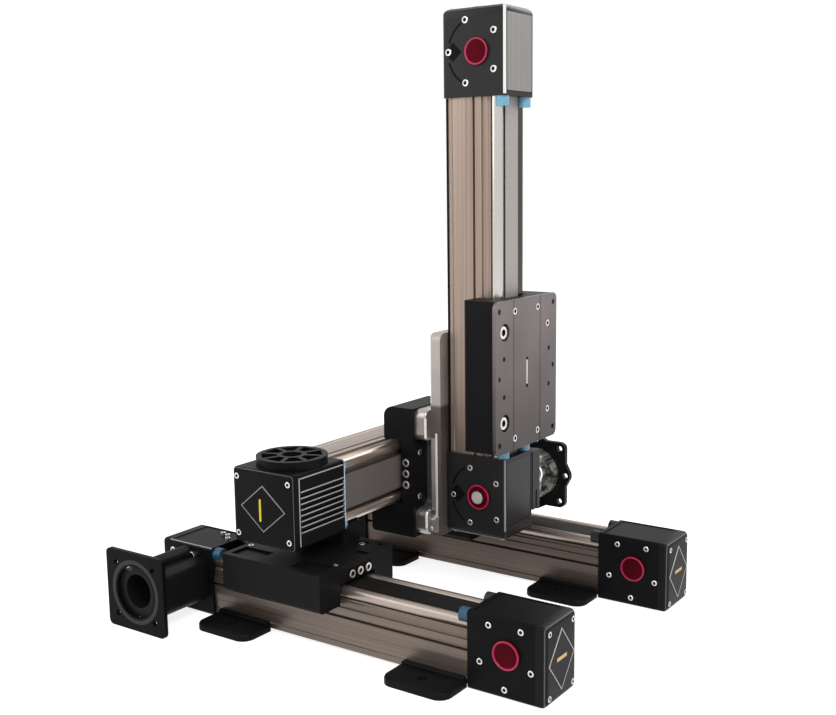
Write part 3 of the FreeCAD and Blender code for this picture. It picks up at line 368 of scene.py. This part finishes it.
# Surfaces built from stacked outlines, in millimetres, on one face of the machine

faceAxes = {"-x": ((0, -1, 0), (0, 0, 1)), "+x": ((0, 1, 0), (0, 0, 1)), "-y": ((1, 0, 0), (0, 0, 1)),
            "+y": ((-1, 0, 0), (0, 0, 1)), "-z": ((-1, 0, 0), (0, 1, 0)), "+z": ((1, 0, 0), (0, 1, 0))}
turnSteps = 32
turnAngles = np.arange(turnSteps) * 2 * np.pi / turnSteps
sharpAngle = 28  # degrees; edges with a greater turn are shaded sharp


def roundOutline(radius):
    # (r cos t, r sin t)
    return radius * np.stack((np.cos(turnAngles), np.sin(turnAngles)), 1)


def hexOutline(reach):
    # distance = reach / cos(t mod 60 - 30 degrees)
    swing = 1 / np.cos((turnAngles + np.pi / 6) % (np.pi / 3) - np.pi / 6)
    return roundOutline(reach) * swing[:, None]


def slabOutline(halfU, halfV, corner, inset):
    # (+-(halfU - c) + (c - inset) cos t, +-(halfV - c) + (c - inset) sin t);
    # a pair of radii is for the corners at -v and +v
    angles = turnAngles + np.pi / turnSteps
    radii = np.where(np.sin(angles) < 0, *corner) if isinstance(corner, tuple) else corner + 0 * angles
    around = np.stack((np.cos(angles), np.sin(angles)), 1)
    side = np.sign(around) * (np.array((halfU, halfV)) - radii[:, None])
    return side + (radii - inset)[:, None] * around


def diamondOutline(halfU, halfV, grow):
    # four corners, each side moved out by the growth
    slope = math.hypot(1 / halfU, 1 / halfV) * grow
    return (1 + slope) * np.array([(halfU, 0.0), (0.0, halfV), (-halfU, 0.0), (0.0, -halfV)])


def stacked(side, place, outlines, heights, inner=math.inf):
    # place + u, v of each outline + height along u x v; rings from number inner on take the second material
    u, v = (np.array(axis, float) for axis in faceAxes[side])
    count = len(outlines[0])
    rows = [ring @ np.stack((u, v)) + height * np.cross(u, v) for ring, height in zip(outlines, heights)]
    points = (np.concatenate(rows) + np.array(place, float)) * mm
    k = np.arange(count)
    quads = np.stack((k, (k + 1) % count, (k + 1) % count + count, k + count), 1)
    levels = np.arange(len(outlines) - 1)
    faces = (quads[None] + count * levels[:, None, None]).reshape(-1, 4)
    return points, faces, np.repeat(levels >= inner, count)


def capped(made, count, mark=False):
    # the last ring, of count points, is closed by one flat face
    points, faces, marks = made
    last = len(points) - count
    return points, faces.tolist() + [list(range(last, last + count))], marks.tolist() + [mark]


# Socket screw: a chamfered head, then down into a hexagonal socket painted dark as its shade

screwHead = {"sink": 0.2, "chamfer": 0.25, "chamferDrop": 0.2, "socket": 0.52, "mouth": 1.22,
             "mouthDrop": 0.1, "floor": 0.08}


def socketScrew(side, place, radius, height):
    # rings of radius r, r, r - chamfer, mouth, then hexagons of reach socket x r
    reach = screwHead["socket"] * radius
    outlines = [roundOutline(radius), roundOutline(radius), roundOutline(radius - screwHead["chamfer"]),
                roundOutline(reach * screwHead["mouth"]), hexOutline(reach), hexOutline(reach)]
    heights = [-screwHead["sink"], height - screwHead["chamferDrop"], height, height,
               height - screwHead["mouthDrop"], screwHead["floor"]]
    return capped(stacked(side, place, outlines, heights, inner=len(outlines) - 2), turnSteps, True)


slabSink = 0.1  # every slab starts this far inside the face that it lies on


def slab(side, place, half, corner, height, bevel):
    # a rounded rectangle with its rim drawn in by the bevel
    outlines = [slabOutline(*half, corner, inset) for inset in (0, 0, bevel)]
    return capped(stacked(side, place, outlines, [-slabSink, height - bevel, height]), turnSteps)


def sheetGrid(points):
    # faces of an open grid of rows x columns points, in millimetres
    rows, columns = points.shape[:2]
    i, j = np.meshgrid(np.arange(rows - 1), np.arange(columns - 1), indexing="ij")
    first = (i * columns + j).ravel()
    faces = np.stack((first, first + 1, first + columns + 1, first + columns), 1)
    return points.reshape(-1, 3) * mm, faces, np.zeros(len(faces), bool)


ridge = {"steps": 25, "across": (-0.5, -0.4, 0.4, 0.5), "lift": (0.0, 1.0, 1.0, 0.0)}


def arcBand(side, centre, radius, width, sweep, height):
    # (r + across x width) (cos t u + sin t v), lifted by height in the middle
    u, v = (np.array(axis, float) for axis in faceAxes[side])
    angle = np.radians(np.linspace(*sweep, ridge["steps"]))[:, None]
    reach = radius + np.array(ridge["across"])[None] * width
    lift = np.array(ridge["lift"])[None] * height + 0 * angle
    points = (reach * np.cos(angle))[..., None] * u + (reach * np.sin(angle))[..., None] * v
    return sheetGrid(points + lift[..., None] * np.cross(u, v) + np.array(centre, float))


edgeBand = {"steps": 9, "lift": 0.04}
front = (0, -1, 0)


def roundedEdge(start, end, radius, span, out=(1, 0, 0)):
    # part of the rounding between the face out and the front: centre + r (cos t out + sin t front)
    a, b, ends = np.array(out, float), np.array(front, float), np.array([start, end], float)
    angle = np.radians(np.linspace(*span, edgeBand["steps"]))[None, :, None]
    around = (radius + edgeBand["lift"]) * (np.cos(angle) * a + np.sin(angle) * b)
    return sheetGrid(ends[:, None] - radius * (a + b) + around)


def makePiece(name, blocks, materials, body):
    # blocks of points, faces and material marks, joined to one mesh that rides on a body
    mesh = bpy.data.meshes.new(name)
    starts = np.cumsum([0] + [len(block[0]) for block in blocks])
    faces = [[start + corner for corner in face] for block, start in zip(blocks, starts) for face in block[1]]
    mesh.from_pydata(np.concatenate([block[0] for block in blocks]), [], faces)
    for material in materials:
        mesh.materials.append(material)
    marks = np.concatenate([np.array(block[2], int) for block in blocks])
    mesh.polygons.foreach_set("material_index", np.minimum(marks, len(materials) - 1))
    mesh.polygons.foreach_set("use_smooth", np.ones(len(faces), bool))
    mesh.set_sharp_from_angle(angle=math.radians(sharpAngle))
    piece = bpy.data.objects.new(name, mesh)
    bpy.context.scene.collection.objects.link(piece)
    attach(piece, body)
    return piece


def makeTrim(rows):
    # name: material, body, slot and the shapes with their sizes
    for name, (material, body, slotName, shapes) in rows.items():
        makePiece(name, [shape(**sizes) for shape, sizes in shapes], [material], body)


# Places in millimetres: middles of the base modules, end covers, and the pulley axes of the tool axis

base, bridge, column, plateBody = "base", "bridge", "tool_column", "tool_carriage"
moduleMiddles = (-93.0, 93.0)
moduleHalf = 20.5
columnSides = {"-y": 14.8, "+y": 55.8}
columnAxes = {"top": (39.0, 406.4), "low": (39.0, 83.4)}
idlerEnds = [(164.9, middle, 26.0) for middle in moduleMiddles]
driveEnds = [(-165.0, middle, 26.0) for middle in moduleMiddles]
beamDriveEnd, beamIdlerEnd = (-43.0, -131.7, 97.8), (-43.0, 131.7, 97.8)
columnDriveEnd, columnIdlerEnd = (35.8, 35.3, 52.6), (35.8, 35.3, 437.4)
plateMiddle = (65.8, 35.3, 177.5)


def onFace(y, pattern):
    return [(x, y, z) for x, z in pattern]


def atCorners(middles, stepA, stepB):
    # middle +- stepA +- stepB
    return [tuple(np.array(middle) + a * np.array(stepA) + b * np.array(stepB))
            for middle in middles for a in (-1, 1) for b in (-1, 1)]


# Socket screws: side of the machine, places, head radius and head height

patterns = {
    "idler": [(125.0, 45.9), (148.0, 46.2), (118.5, 20.7), (155.0, 21.3), (136.4, 6.2)],
    "drive": [(-152.6, 46.2), (-124.8, 46.2), (-155.8, 20.7), (-121.6, 20.7), (-138.7, 6.2)],
    "top": [(29.3, 428.6), (52.7, 420.0), (15.2, 407.2), (52.6, 393.7), (29.4, 385.2)],
    "low": [(31.2, 104.5), (53.8, 95.4), (16.3, 82.1), (54.1, 68.0), (30.9, 62.5)],
}


def onModules(name, out, middles=moduleMiddles):
    return [place for middle in middles for place in onFace(middle + out, patterns[name])]


screws = {
    "baseScrews": (base, screwSteel, [
        ("-y", onModules("idler", -moduleHalf), 2.1, 0.7),
        ("+y", onModules("idler", moduleHalf), 2.1, 0.7),
        ("+y", onModules("drive", moduleHalf), 2.1, 0.7),
        ("-y", onModules("drive", -moduleHalf, moduleMiddles[1:]), 2.1, 0.7),  # an adapter hides the first
        ("-y", [(-131.7, -113.5, 43.7)], 3.1, 2.6),
        ("-y", [(-151.5, -113.5, 44.5)], 2.6, 2.0),
        ("+z", [(-129.0, -84.5, 52.0), (-122.5, -86.5, 52.0), (-117.0, -92.0, 52.0)], 1.9, 2.2),
        ("+x", atCorners(idlerEnds, (0, 15.2, 0), (0, 0, 20.6)), 2.0, 0.4),
        ("-x", atCorners(driveEnds, (0, 15.2, 0), (0, 0, 20.6)), 2.0, 0.8)]),
    "bridgeScrews": (bridge, screwSteel, [
        ("-y", onFace(-131.7, [(-66.2, 118.0), (-20.0, 118.0), (-66.2, 77.6), (-20.0, 77.6)]), 2.1, 0.6),
        ("+y", atCorners([beamIdlerEnd], (21.0, 0, 0), (0, 0, 20.5)), 2.1, 0.6),
        ("+z", [(x, middle + 30.0, 58.6) for middle in moduleMiddles for x in (-62.3, -11.9)], 2.6, 1.3),
        ("+z", [(x, middle - 17.0, 60.2) for middle in moduleMiddles for x in (-76.0, 2.0)], 1.9, 0.5),
        ("+x", [(7.35, y, 51.6) for y in (-99.0, -90.0, -81.0)], 3.1, 0.5)]),
    "columnScrews": (column, screwSteel, [
        ("-y", onFace(columnSides["-y"], patterns["top"]), 2.5, 0.6),
        ("+y", onFace(columnSides["+y"], patterns["top"]), 2.5, 0.6),
        ("-y", onFace(columnSides["-y"], patterns["low"]), 2.2, 0.5),
        ("-y", onFace(-1.5, [(-16.0, 105.5), (-16.0, 97.0), (-16.0, 88.5)]), 3.0, 0.6),
        ("+x", [(-9.1, 6.9, 113.0), (-9.1, 6.1, 79.0)], 2.3, 0.8),
        ("+x", [(0.9, 12.2, 135.9)], 2.4, 1.2),
        ("+x", [(0.9, 9.4, 54.2)], 2.2, 1.0),
        ("-z", atCorners([columnDriveEnd], (20.6, 0, 0), (0, 15.2, 0)), 2.0, 0.5),
        ("+z", atCorners([columnIdlerEnd], (20.6, 0, 0), (0, 15.2, 0)), 2.0, 0.35)]),
    "plateScrews": (plateBody, paleHighlight, [
        ("+x", atCorners([plateMiddle], (0, 16.7, 0), (0, 0, 46.5)), 2.7, 2.3),
        ("+x", [(65.8, 67.2, 144.75), (65.8, 67.2, 210.25)], 2.7, 2.3),
        ("+x", [(65.8, 2.6, 144.75), (65.8, 2.6, 210.25)], 4.6, 2.0)]),
}
for name, (body, face, rows) in screws.items():
    heads = [socketScrew(side, place, radius, height)
             for side, places, radius, height in rows for place in places]
    makePiece(name, heads, [face, socketShade], body)
print("screws made")


# Bearing caps: a bright lip round each crimson disc, and the shaft's end face in the lower one

lip = {"radii": (9.5, 9.3, 9.05, 8.45, 8.1), "heights": (0.0, 0.45, 0.6, 0.6, 0.0), "out": 22.0,
       "basePlace": (137.9, 29.2)}
lipPlaces = {
    "baseCapLips": (base, [("-y" if step < 0 else "+y", middle + step * lip["out"], lip["basePlace"])
                           for middle in moduleMiddles for step in (-1, 1)]),
    "columnCapLips": (column, [("-y", 13.3, columnAxes["top"]), ("+y", 57.3, columnAxes["top"]),
                               ("-y", 13.3, columnAxes["low"])]),
}
for name, (body, places) in lipPlaces.items():
    rings = [stacked(side, (x, y, z), [roundOutline(radius) for radius in lip["radii"]], lip["heights"])
             for side, y, (x, z) in places]
    makePiece(name, rings, [rimRed], body)
shaftEnd = {"side": "-y", "place": (39.0, 11.8, 83.4), "half": (4.5, 4.5), "corner": 4.5, "height": 0.1,
            "bevel": 0.05}
makePiece("columnShaftFace", [slab(**shaftEnd)], [shaftFace], "column_drive")


# End covers: a rounded rectangle whose outer edge is a quarter arc, with a raised diamond and a fine frame;
# the frame and one ring of the arc carry painted highlights

coverShape = {"depth": 7.0, "corner": 2.5, "arc": (0, 18, 36, 50, 70, 90), "highlightRing": 3}
diamondShape = {"height": 0.4, "sink": 0.1, "slope": 0.1, "frameWidth": 0.8}
endCovers = {
    "baseIdlerCovers": {"replaced": "x_idler_covers", "body": base, "side": "+x", "places": idlerEnds,
                        "half": (20.5, 26.0), "edge": 3.6, "diamond": (15.5, 19.0), "paint": coverBlack},
    "baseDriveCovers": {"replaced": "x_drive_covers", "body": base, "side": "-x", "places": driveEnds,
                        "half": (20.5, 26.0), "edge": 3.6, "diamond": (15.5, 19.0), "paint": housingBlack},
    "beamDriveCover": {"replaced": "y_drive_cover", "body": bridge, "side": "-y", "places": [beamDriveEnd],
                       "half": (27.5, 26.5), "edge": 2.2, "diamond": (19.0, 15.5), "paint": housingBlack},
    "beamIdlerCover": {"replaced": "y_idler_cover", "body": bridge, "side": "+y", "places": [beamIdlerEnd],
                       "half": (27.5, 26.5), "edge": 2.2, "diamond": (19.0, 15.5), "paint": housingBlack},
    "columnDriveCover": {"replaced": "z_drive_cover", "body": column, "side": "-z",
                         "places": [columnDriveEnd], "half": (26.0, 20.5), "edge": 3.6,
                         "diamond": (19.0, 15.5), "paint": topBlack},
    "columnIdlerCover": {"replaced": "z_idler_cover", "body": column, "side": "+z",
                         "places": [columnIdlerEnd], "half": (26.0, 20.5), "edge": 4.2,
                         "diamond": (19.0, 15.5), "paint": topBlack},
}


def coverShell(side, place, half, edge):
    # inset = r (1 - cos t), height = depth - r + r sin t; one ring of the arc carries a painted highlight
    t = np.radians(coverShape["arc"])
    insets = (0, *(edge - edge * np.cos(t)))
    outlines = [slabOutline(half[0] - inset, half[1] - inset, coverShape["corner"], 0) for inset in insets]
    heights = [0, *(coverShape["depth"] - edge + edge * np.sin(t))]
    points, faces, marks = capped(stacked(side, place, outlines, heights), turnSteps)
    marks = [k // turnSteps == coverShape["highlightRing"] for k in range(len(marks))]
    return points, faces + [list(range(turnSteps - 1, -1, -1))], marks + [False]


def coverDiamond(side, place, half):
    # rings grown by 0 and - slope, from a sunk foot to the height
    outlines = [diamondOutline(*half, grow) for grow in (0.0, -diamondShape["slope"])]
    return capped(stacked(side, place, outlines, [-diamondShape["sink"], diamondShape["height"]]), 4)


def diamondFrame(side, place, half):
    # rings grown by width, width - slope, slope and 0, low at both ends
    width, slope, height = diamondShape["frameWidth"], diamondShape["slope"], diamondShape["height"]
    outlines = [diamondOutline(*half, grow) for grow in (width, width - slope, slope, 0.0)]
    return stacked(side, place, outlines, [0, height, height, 0])


# painted highlights along the frames round the diamonds
for name, body, metal in (("baseDiamondFrames", base, ribHighlight), ("beamDiamondFrames", bridge, dimEdgeHighlight),
                          ("columnDiamondFrames", column, dimEdgeHighlight)):
    blocks = [diamondFrame(cover["side"], place, cover["diamond"]) for cover in endCovers.values()
              if cover["body"] == body for place in cover["places"]]
    makePiece(name, blocks, [metal], body)
for name, cover in endCovers.items():
    blocks, side = [], cover["side"]
    inward = -coverShape["depth"] * np.cross(*faceAxes[side])
    for place in cover["places"]:
        blocks.append(coverShell(side, np.array(place) + inward, cover["half"], cover["edge"]))
        blocks.append(coverDiamond(side, place, cover["diamond"]))
    piece = makePiece(name, blocks, [cover["paint"], coverHighlight], cover["body"])
    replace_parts(piece, cover["replaced"])
print("covers made")


# Engraved arcs and pointed plates beside the caps of the tool axis

arcs = {"radius": 24.0, "width": 1.6, "height": 0.08}
arcSweeps = ((120, 163), (196, 238))
arcBlocks = [arcBand("-y", (x, columnSides["-y"], z), sweep=sweep, **arcs)
             for x, z in columnAxes.values() for sweep in arcSweeps]
makePiece("columnEngravedArcs", arcBlocks, [grooveBlack], column)
pointed = {"half": (6.6, 6.2), "grow": (0.5, 0.4, 0.0), "heights": (0.0, 0.12, 0.2),
           "places": ((19.0, 407.0), (20.0, 83.4))}
pointedOutlines = [diamondOutline(*pointed["half"], grow) for grow in pointed["grow"]]
pointedBlocks = [capped(stacked("-y", place, pointedOutlines, pointed["heights"]), 4)
                 for place in onFace(columnSides["-y"], pointed["places"])]
makePiece("columnPointedPlates", pointedBlocks, [grooveBlack], column)


# Satin faces in the sunk panels of the narrow housings, and painted highlights on edges that face the front

ribLine = {"side": "+x", "corner": 0.4, "height": 0.12, "bevel": 0.08}
ribHeights = [83.9 + 4 * k for k in range(7)] + [112.2, 121.6]
makeTrim({
    "columnTopFace": (paleFace, column, "black_housing", [
        (slab, {"side": "+x", "place": (61.75, 35.3, 405.6), "half": (17.3, 26.6), "corner": 1.0,
                "height": 0.2, "bevel": 0.1})]),
    "columnLowFace": (darkFace, column, "black_housing", [
        (slab, {"side": "+x", "place": (61.3, 35.3, 87.0), "half": (17.3, 24.2), "corner": 1.0,
                "height": 0.3, "bevel": 0.1})]),
    "columnTopEdge": (edgeHighlight, column, "black_housing", [
        (roundedEdge, {"start": (61.8, 14.8, 376.5), "end": (61.8, 14.8, 436.5), "radius": 2.5,
                       "span": (14, 68)})]),
    "columnLowEdge": (dimEdgeHighlight, column, "black_housing", [
        (roundedEdge, {"start": (61.8, 14.8, 60.0), "end": (61.8, 14.8, 114.0), "radius": 2.5,
                       "span": (30, 62)})]),
    "driveTopEdge": (dimEdgeHighlight, base, "black_housing", [
        (roundedEdge, {"start": (-157.0, -113.5, 52.0), "end": (-113.5, -113.5, 52.0), "radius": 2.5,
                       "span": (20, 44), "out": (0, 0, 1)})]),
    "driveRibEdges": (ribHighlight, bridge, "black_housing", [
        *((slab, {"place": (-15.5, -100.9, z - 0.6), "half": (23.2, 0.45), **ribLine}) for z in ribHeights),
        (slab, {"place": (-15.5, -125.3, 97.8), "half": (0.5, 24.0), **ribLine})]),
})


# Feet: a rounded plate with one bolt hole and a clamping lip along the profile

foot = {"halfLong": 25.0, "halfDeep": 13.75, "round": 9.0, "square": 1.0, "thick": 5.0, "edge": 1.2,
        "edgeSteps": (0.3, 1.0), "holeRadius": 3.5, "holeShift": 0.25, "along": 83.0, "out": 32.0}
footLip = {"half": 2.0, "top": 7.0, "sink": 0.5, "inset": 1.0, "corner": 0.8, "bevel": 0.5}


def clampFoot(x, y, outward):
    # up the rounded outline, in over the softened edge, down the hole and back along the underside
    radii = (foot["round"], foot["square"]) if outward < 0 else (foot["square"], foot["round"])
    edge, thick, sizes = foot["edge"], foot["thick"], (foot["halfLong"], foot["halfDeep"])
    rim, *drawn = [slabOutline(sizes[0] - k * edge, sizes[1] - k * edge, radii, 0)
                   for k in (0, *foot["edgeSteps"])]
    hole = roundOutline(foot["holeRadius"]) + np.array([0.0, outward * foot["holeShift"]])
    heights = [0, thick - edge, thick - foot["edgeSteps"][0] * edge, thick, thick, 0, 0]
    plate = stacked("+z", (x, y, 0.0), [rim, rim, *drawn, hole, hole, rim], heights)
    start = thick - footLip["sink"]
    lipBar = slab("+z", (x, y - outward * (foot["halfDeep"] - footLip["half"]), start),
                  (foot["halfLong"] - footLip["inset"], footLip["half"]), footLip["corner"],
                  footLip["top"] - start, footLip["bevel"])
    return [plate, lipBar]


footBlocks = [block for x in (-foot["along"], foot["along"]) for middle in moduleMiddles
              for outward in (-1, 1) for block in clampFoot(x, middle + foot["out"] * outward, outward)]
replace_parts(makePiece("clampFeet", footBlocks, [footBlack], base), "base_feet")


# End wall of the upright drive's bell: a coned ring round the motor socket

bell = {"middle": (39.0, 101.6, 83.4), "radii": (16.9, 16.8, 14.5, 13.0, 9.4, 8.7, 8.7, 16.9),
        "heights": (0.0, 1.2, 1.8, 4.2, 4.8, 4.4, 0.0, 0.0)}
bellWall = stacked("-y", bell["middle"], [roundOutline(radius) for radius in bell["radii"]], bell["heights"])
makePiece("bellEndWall", [bellWall], [brightMetal], column)


# Smaller details: pale strip beside the beam's drive block, painted highlights on the bracket's web edges,
# faces of the bracket's web, dark seams of the upright profile, yellow inlay, screw plate and the painted
# light on the wall of the plate's slot

webEdge = {"radius": 1.8, "span": (15, 75)}
webEdges = ((1.0, 126.0, 141.0), (1.0, 56.0, 67.0), (17.0, 75.0, 118.0))
seam = {"half": (0.8, 130.3), "corner": 0.3, "height": 0.08, "bevel": 0.04}
makeTrim({
    "beamSealStrip": (paleBlue, bridge, "bumper_blue", [
        (slab, {"side": "+x", "place": (-16.6, -76.4, 99.5), "half": (0.65, 20.5), "corner": 0.6,
                "height": 1.0, "bevel": 0.2})]),
    "bracketBrightEdges": (edgeHighlight, column, "bare_aluminium", [
        *((roundedEdge, {"start": (0.9, y, low), "end": (0.9, y, high), **webEdge})
          for y, low, high in webEdges),
        (slab, {"side": "-y", "place": (5.7, 8.0, 98.0), "half": (0.9, 31.0), "corner": 0.6,
                "height": 0.5, "bevel": 0.2}),
        (slab, {"side": "-y", "place": (1.35, 8.0, 178.0), "half": (0.4, 26.5), "corner": 0.4,
                "height": 0.1, "bevel": 0.05}),
        (arcBand, {"side": "-y", "centre": (-0.3, 7.9, 67.5), "radius": 6.0, "width": 1.8,
                   "sweep": (-88, 2), "height": 0.5})]),
    "bracketWebFace": (webFace, column, "bare_aluminium", [
        (slab, {"side": "-y", "place": (3.0, 8.0, 97.0), "half": (2.0, 28.0), "corner": 0.6,
                "height": 0.15, "bevel": 0.1}),
        (slab, {"side": "-y", "place": (4.0, 8.0, 58.5), "half": (3.0, 7.0), "corner": 2.0,
                "height": 0.25, "bevel": 0.15})]),
    "columnSeams": (grooveBlack, column, "anodised_profile", [
        (slab, {"side": "-y", "place": (12.3, 16.55, 244.9), **seam}),
        (slab, {"side": "+x", "place": (54.8, 26.2, 244.9), **seam})]),
    "coverInlay": (yellowInlay, bridge, "bumper_blue", [
        (slab, {"side": "-y", "place": (-45.4, -132.1, 96.5), "half": (0.9, 8.0), "corner": 0.8,
                "height": 0.1, "bevel": 0.05})]),
    "screwPlate": (grooveBlack, bridge, "black_carriage", [
        (slab, {"side": "+x", "place": (7.0, -90.0, 51.6), "half": (13.6, 4.2), "corner": 1.0,
                "height": 0.35, "bevel": 0.15})]),
    "slotWall": (paleHighlight, plateBody, "grey_plate", [
        (slab, {"side": "+x", "place": (66.0, 36.35, 177.5), "half": (0.5, 9.0), "corner": 0.45,
                "height": 2.0, "bevel": 0.2})]),
})
print("details made")


# Camera, matched to the photograph's viewpoint

cameraView = {"place": (0.47406, -0.68637, 0.31971), "azimuth": 34.886, "elevation": 8.995, "roll": -0.761,
              "focalPixels": 1140.0, "pictureWidth": 836, "sensor": 36.0}


def placeCamera():
    # looks along (-sin a cos e, cos a cos e, -sin e), with the horizon turned by the roll
    a, e, r = (math.radians(cameraView[k]) for k in ("azimuth", "elevation", "roll"))
    forward = Vector((-math.sin(a) * math.cos(e), math.cos(a) * math.cos(e), -math.sin(e)))
    right = Vector((math.cos(a), math.sin(a), 0))
    up = right.cross(forward)
    turnedRight = math.cos(r) * right + math.sin(r) * up
    turnedUp = -math.sin(r) * right + math.cos(r) * up
    lens = bpy.data.cameras.new("mainCamera")
    lens.sensor_width = cameraView["sensor"]
    lens.lens = cameraView["focalPixels"] / cameraView["pictureWidth"] * cameraView["sensor"]
    camera = bpy.data.objects.new("mainCamera", lens)
    turn = Matrix((turnedRight, turnedUp, -forward)).transposed()
    camera.matrix_world = Matrix.Translation(cameraView["place"]) @ turn.to_4x4()
    bpy.context.scene.collection.objects.link(camera)
    bpy.context.scene.camera = camera


placeCamera()

# Floor, world and lamps

stage = {"floorHalf": 3.0, "floorColour": "#f4f3f2", "floorRough": 0.9, "floorGlow": 0.8,
         "floorLit": "#bcbcbc", "worldStrength": 0.55, "white": (1, 1, 1, 1), "aim": (0, 0, 0.15)}
lamps = {"key": {"place": (1.1, -1.0, 1.5), "size": 0.9, "power": 22},
         "fill": {"place": (-1.3, -0.9, 0.9), "size": 1.2, "power": 9},
         "rim": {"place": (0.3, 1.5, 1.3), "size": 1.0, "power": 12}}


def whiteRays(tree):
    # 1 for the rays of the camera, mirrors and glass, which see a white background
    path = addNode(tree, "ShaderNodeLightPath")
    seen = path.outputs["Is Camera Ray"]
    for ray in ("Is Glossy Ray", "Is Transmission Ray"):
        seen = mathNode(tree, "MAXIMUM", seen, path.outputs[ray])
    return seen


def mixedShaders(tree, amount, first, second):
    return addNode(tree, "ShaderNodeMixShader", {0: amount, 1: first, 2: second}).outputs[0]


def buildWorld():
    world = bpy.data.worlds.new("studio")
    bpy.context.scene.world = world
    world.use_nodes = True
    tree = world.node_tree
    tree.nodes.clear()
    light, white = (addNode(tree, "ShaderNodeBackground", {"Color": stage["white"], "Strength": strength})
                    for strength in (stage["worldStrength"], 1.0))
    mixed = mixedShaders(tree, whiteRays(tree), light.outputs[0], white.outputs[0])
    addNode(tree, "ShaderNodeOutputWorld", {"Surface": mixed})


def buildFloor():
    half = stage["floorHalf"]
    places = [(-half, -half, 0), (half, -half, 0), (half, half, 0), (-half, half, 0)]
    mesh = bpy.data.meshes.new("floor")
    mesh.from_pydata(places, [], [(0, 1, 2, 3)])
    floor = bpy.data.objects.new("floor", mesh)
    bpy.context.scene.collection.objects.link(floor)
    material, tree, principled = newMaterial("paleStudioFloor", stage["floorColour"],
                                             Roughness=stage["floorRough"])[:3]
    glow = addNode(tree, "ShaderNodeEmission", {"Strength": stage["floorGlow"]})
    lit = addNode(tree, "ShaderNodeBsdfDiffuse", {"Color": linear(stage["floorLit"])})
    both = addNode(tree, "ShaderNodeAddShader", {0: glow.outputs[0], 1: lit.outputs[0]})
    mixed = mixedShaders(tree, whiteRays(tree), principled.outputs[0], both.outputs[0])
    tree.links.new(mixed, tree.nodes["Material Output"].inputs["Surface"])
    mesh.materials.append(material)


def buildLamp(name, place, size, power):
    lamp = bpy.data.lights.new(name, "AREA")
    lamp.size = size
    lamp.energy = power
    thing = bpy.data.objects.new(name, lamp)
    thing.location = Vector(place)
    thing.rotation_euler = (Vector(stage["aim"]) - Vector(place)).to_track_quat("-Z", "Y").to_euler()
    bpy.context.scene.collection.objects.link(thing)


buildWorld()
buildFloor()
for name, settings in lamps.items():
    buildLamp(name, **settings)
bpy.context.scene.view_settings.view_transform = "Standard"
print("stage ready")
